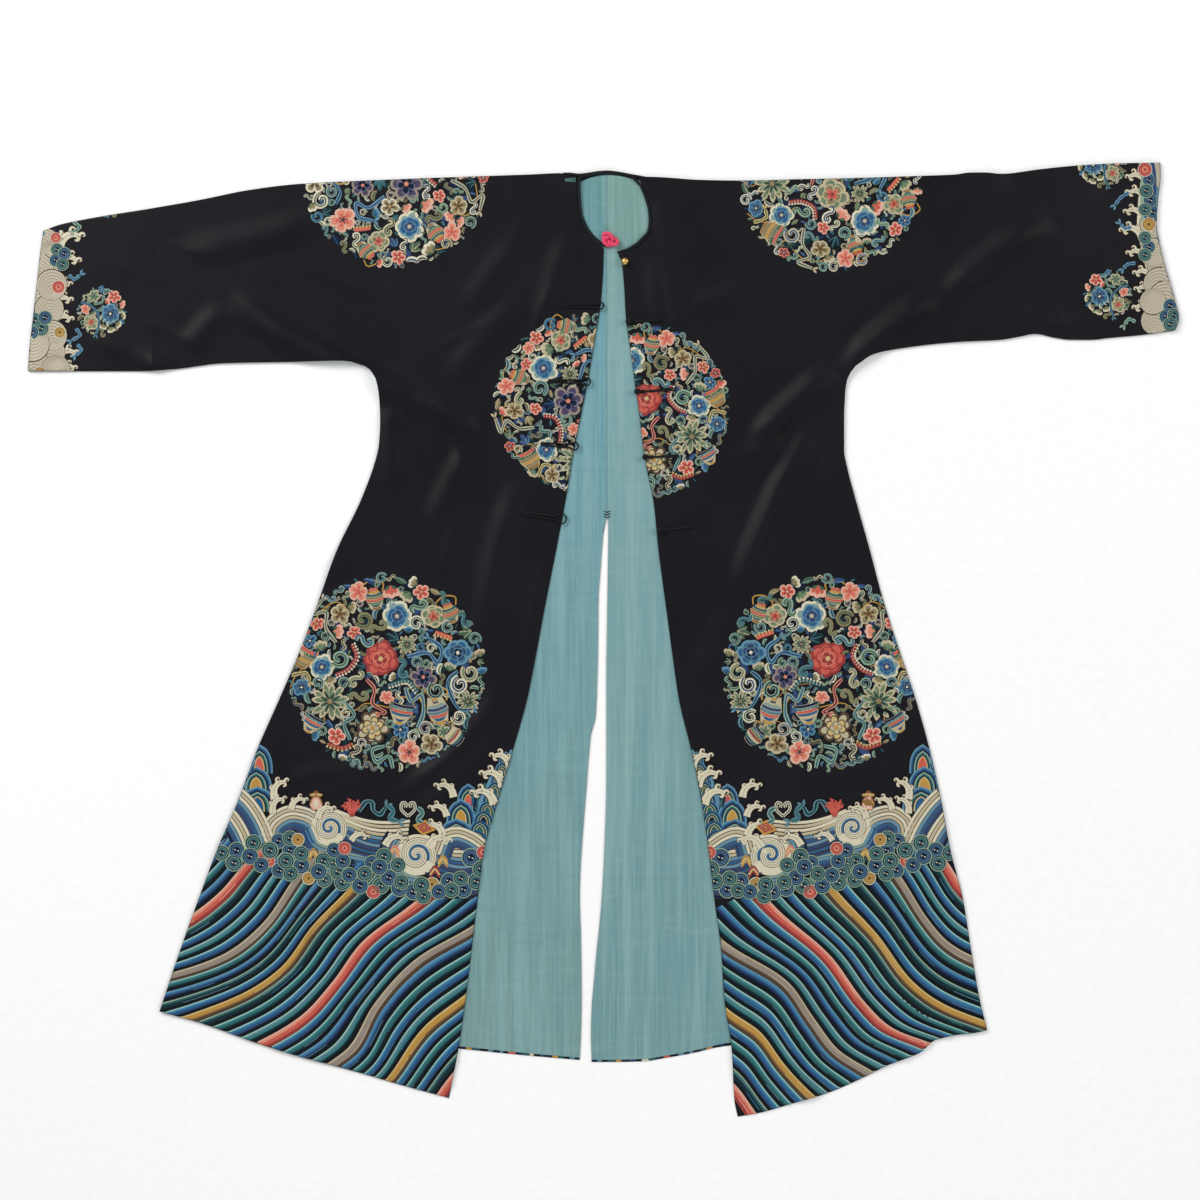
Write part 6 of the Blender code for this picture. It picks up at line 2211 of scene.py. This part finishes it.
def ball_button(gilt, cord):
    """The ribbed gilt ball and the short cord that holds it."""
    across, drop, height = middle_of("neck_ball")
    ball = ball_mesh(across, drop, height, BALL_RADIUS * BALL_SCALE, ribs=10, depth=0.07)
    piece = new_piece("gilt_ball_button", *ball, [gilt], "gilt_ball")
    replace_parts(piece, "neck_ball")
    shank = np.array([(across - 4, drop - 13, height - 1), (across - 3, drop - 9, height),
                      (across - 1.6, drop - 5.6, height)])
    piece = new_piece("ball_shank_cord", *twisted(shank, 1.5), [cord], "black_cord")
    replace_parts(piece, "neck_ball_cord")


def pink_knot(material):
    """The pink cord's knot, as a rounded rosette that crosses over itself."""
    across, drop, _ = middle_of("neck_knot")
    t = np.linspace(0, 4 * math.pi, 120)
    reach = 5.8 + 3.0 * np.cos(1.5 * t)
    lift = 2.5 * (1 + np.sin(1.5 * t + 0.3))
    rest = LINING_LEVEL + LINING_WALL + SEAM_GAP + PINK_CORD_RADIUS
    path = np.column_stack([
        across - 4.5 + 1.32 * reach * np.cos(t),
        drop + 2.5 + 1.05 * reach * np.sin(t) + 0.4 * reach * np.cos(t),
        rest + lift,
    ])
    cord = twisted(path, PINK_CORD_RADIUS * PINK_SCALE, pitch=7.5)
    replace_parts(new_piece("pink_cord_knot", *cord, [material], "pink_cord"), "neck_knot")


def vent_tack(material):
    """Three bars of cord across the head of the back's vent."""
    bars = []
    for drop in (500.0, 504.0, 508.0):
        ends = np.array([(-5, drop, 2.5), (0, drop + 1.5, 3.3), (5, drop - 0.5, 2.5)])
        bars.append(twisted(ends, 0.7, strands=2, pitch=3.0, step=0.5))
    new_piece("vent_tack", *gathered(bars), [material], "black_cord")


def trimmings():
    """Cord loops, doubled cords with knots, neck binding, gilt ball, pink knot and the tack at the vent."""
    black = cord_material("black_silk_cord", linear((8, 9, 13)), 0.05)
    knotted = cord_material("black_knot_cord", linear((10, 11, 16)), 0.08)
    binding = cord_material("blue_black_binding", linear((7, 13, 18)), 0.04)
    pink = cord_material("pink_silk_cord", linear((206, 62, 96)), 0.3)
    gilt = gilt_material()
    cord_loops(black)
    knotted_buttons(black, knotted)
    front_bindings(binding)
    back_binding(binding)
    ball_button(gilt, black)
    pink_knot(pink)
    vent_tack(black)


# The back's stripes show only as ends along its hem, out to these places across
HEM_LINE_ENDS = {"right": -216.6, "left": 236.0}
HEM_ENDS = ["navy", "sky", "ink", "teal", "gold", "navy", "royal", "ink", "ivory", "teal", "navy", "coral",
            "ink", "sky"]
HEM_END_LENGTHS = (6, 13)
HEM_END_GAP = 1.2


def hem_line(name, half):
    """The ends of the back's stripes, as a coloured line below the lining's hem."""
    work = Needlework(on_back, lambda spots: (spots, np.zeros(len(spots), bool)))
    draw = random.Random(40 + half.side)
    at, number = half.vent.value[-1], 0
    while (at - HEM_LINE_ENDS[name]) * half.side < 0:
        long = draw.uniform(*HEM_END_LENGTHS)
        x = np.linspace(at, at + half.side * (long - HEM_END_GAP), 4)
        top, foot = half.back_hem(x) - HEM_SHOWS_BELOW_LINING - 0.5, half.back_hem(x) - 0.4
        rings = [np.column_stack([x, mix(top, foot, share)]) for share in (0, 0.5, 1)]
        work.loft(rings, [0.3, 0.9, 0.1], HEM_ENDS[number % len(HEM_ENDS)], wrap=False)
        at, number = at + half.side * long, number + 1
    work.piece(f"hem_line_{name}")


# The surroundings. Lights: name, place, size and power
AMBIENT = 0.34
LIGHTS = [
    ("key", (-2.6, 2.4, 2.7), 2.0, 128.0),
    ("right", (2.9, 1.2, 2.5), 2.0, 50.0),
    ("front", (0.4, -3.1, 2.6), 2.0, 44.0),
]
SENSOR = 36.0
CAMERA_HEIGHT = 6.0
FRAME_WIDTH = 1.8
FRAME_CENTRE = (-0.0046, 0.0595)
FLOOR_REACH = 6.0
FLOOR_DARK = (0.93, 0.93, 0.925)
FLOOR_LIGHT = (0.96, 0.96, 0.955)

SATIN = satin_material()
# The lining's colour at the neck, at the hem and along its pale slubs, which is also its painted crease
# highlight. The corner's colours are darker, as painted shade.
LINING_COLOURS = {
    "right": (linear((98, 148, 160)), linear((112, 145, 141)), linear((132, 172, 175))),
    "left": (linear((118, 158, 162)), linear((98, 141, 146)), linear((140, 173, 170))),
    # Painted shade: the turned corner's colours are a darker copy of the lining's, for the shade it lies in
    # beside the neck
    "corner": (linear((50, 86, 86)), linear((44, 78, 78)), linear((84, 118, 112))),
}
LININGS = {
    name: lining_material(f"blue_lining_{name}", *colours) for name, colours in LINING_COLOURS.items()
}


def cloth_panels():
    """The fronts, the backs with their lining, and the sleeve ends."""
    for name, half in (("right", RIGHT), ("left", LEFT)):
        blocks = front_blocks(half)
        piece = shell(
            f"satin_front_{name}", blocks, lambda a, d, h=half: front_top(h, a, d), FRONT_WALL,
            [SATIN, LININGS[name]], "black_satin", half.side,
        )
        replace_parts(piece, f"front_{name}")
        width, length, area = outline_size(blocks)
        blocks = back_blocks(half, LINING_INSET, HEM_SHOWS_BELOW_LINING, LINING_STEPS, NECK_RISE)
        piece = shell(
            f"lining_cloth_{name}", blocks, lining_top(half), LINING_WALL,
            [LININGS[name]], "blue_lining", half.side,
        )
        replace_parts(piece, f"lining_{name}")
        width, length, area = outline_size(blocks)
        blocks = back_blocks(half, BACK_INSET, 0.0, BACK_STEPS, 0.0)
        piece = shell(f"back_cloth_{name}", blocks, on_back, BACK_WALL, [SATIN], "black_satin", half.side)
        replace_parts(piece, f"back_{name}")
        width, length, area = outline_size(blocks)
        piece, width, length, area = sleeve_end_piece(half, f"satin_sleeve_end_{name}", SATIN, LININGS[name])
        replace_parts(piece, f"sleeve_end_{name}")


ALL_EDGES = ("outer", "inner", "top", "bottom")


def turned_corner():
    """A corner of lining that shows on the wearer's right shoulder beside the neck, in darker colours that
    paint the shade it lies in.
    """
    lines = (straight((-64, 1.5), (-47, -0.5)), straight((-62, 6), (-47, 7)),
             straight((-64, 1.5), (-62, 6)), straight((-47, -0.5), (-47, 7)))
    block = (lines, stations(6, 20), stations(5, 12), ALL_EDGES)

    def top(across, drop):
        return front_top(RIGHT, across, drop) + 1.0

    shell("lining_corner", [block], top, 0.8, [LININGS["corner"]], "blue_lining", -1)


ALLOWANCE_CROWN = [(-68, -6.2), (-54, -5.0), (-40, -3.4), (-26, -4.4), (-13, -6.2), (0, -7.2), (13, -6.4),
                   (26, -4.6), (40, -2.4), (57, -0.6)]
ALLOWANCE_WIDTH = 11.0
ALLOWANCE_WALL = 0.24


def neck_allowance():
    """A narrow strip of satin along the back of the neck, between the back and its lining."""
    top = through(ALLOWANCE_CROWN)
    foot = lowered(top, ALLOWANCE_WIDTH)
    ends = [straight(tuple(top(at)), tuple(foot(at))) for at in (0.0, 1.0)]
    block = ((top, foot, *ends), stations(28, 125), stations(4, ALLOWANCE_WIDTH), ALL_EDGES)

    def level(across, drop):
        return np.full(np.shape(across), LINING_LEVEL - 0.03)

    shell("neck_allowance", [block], level, ALLOWANCE_WALL, [SATIN], "black_satin", -1)


SILKS = {name: thread_material(name) for name in THREADS}

studio()
cloth_panels()
turned_corner()
neck_allowance()
embroidery()
trimmings()

boxes = [[list(map(float, corner)) for corner in box] for box in (CAD_BOX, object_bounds())]
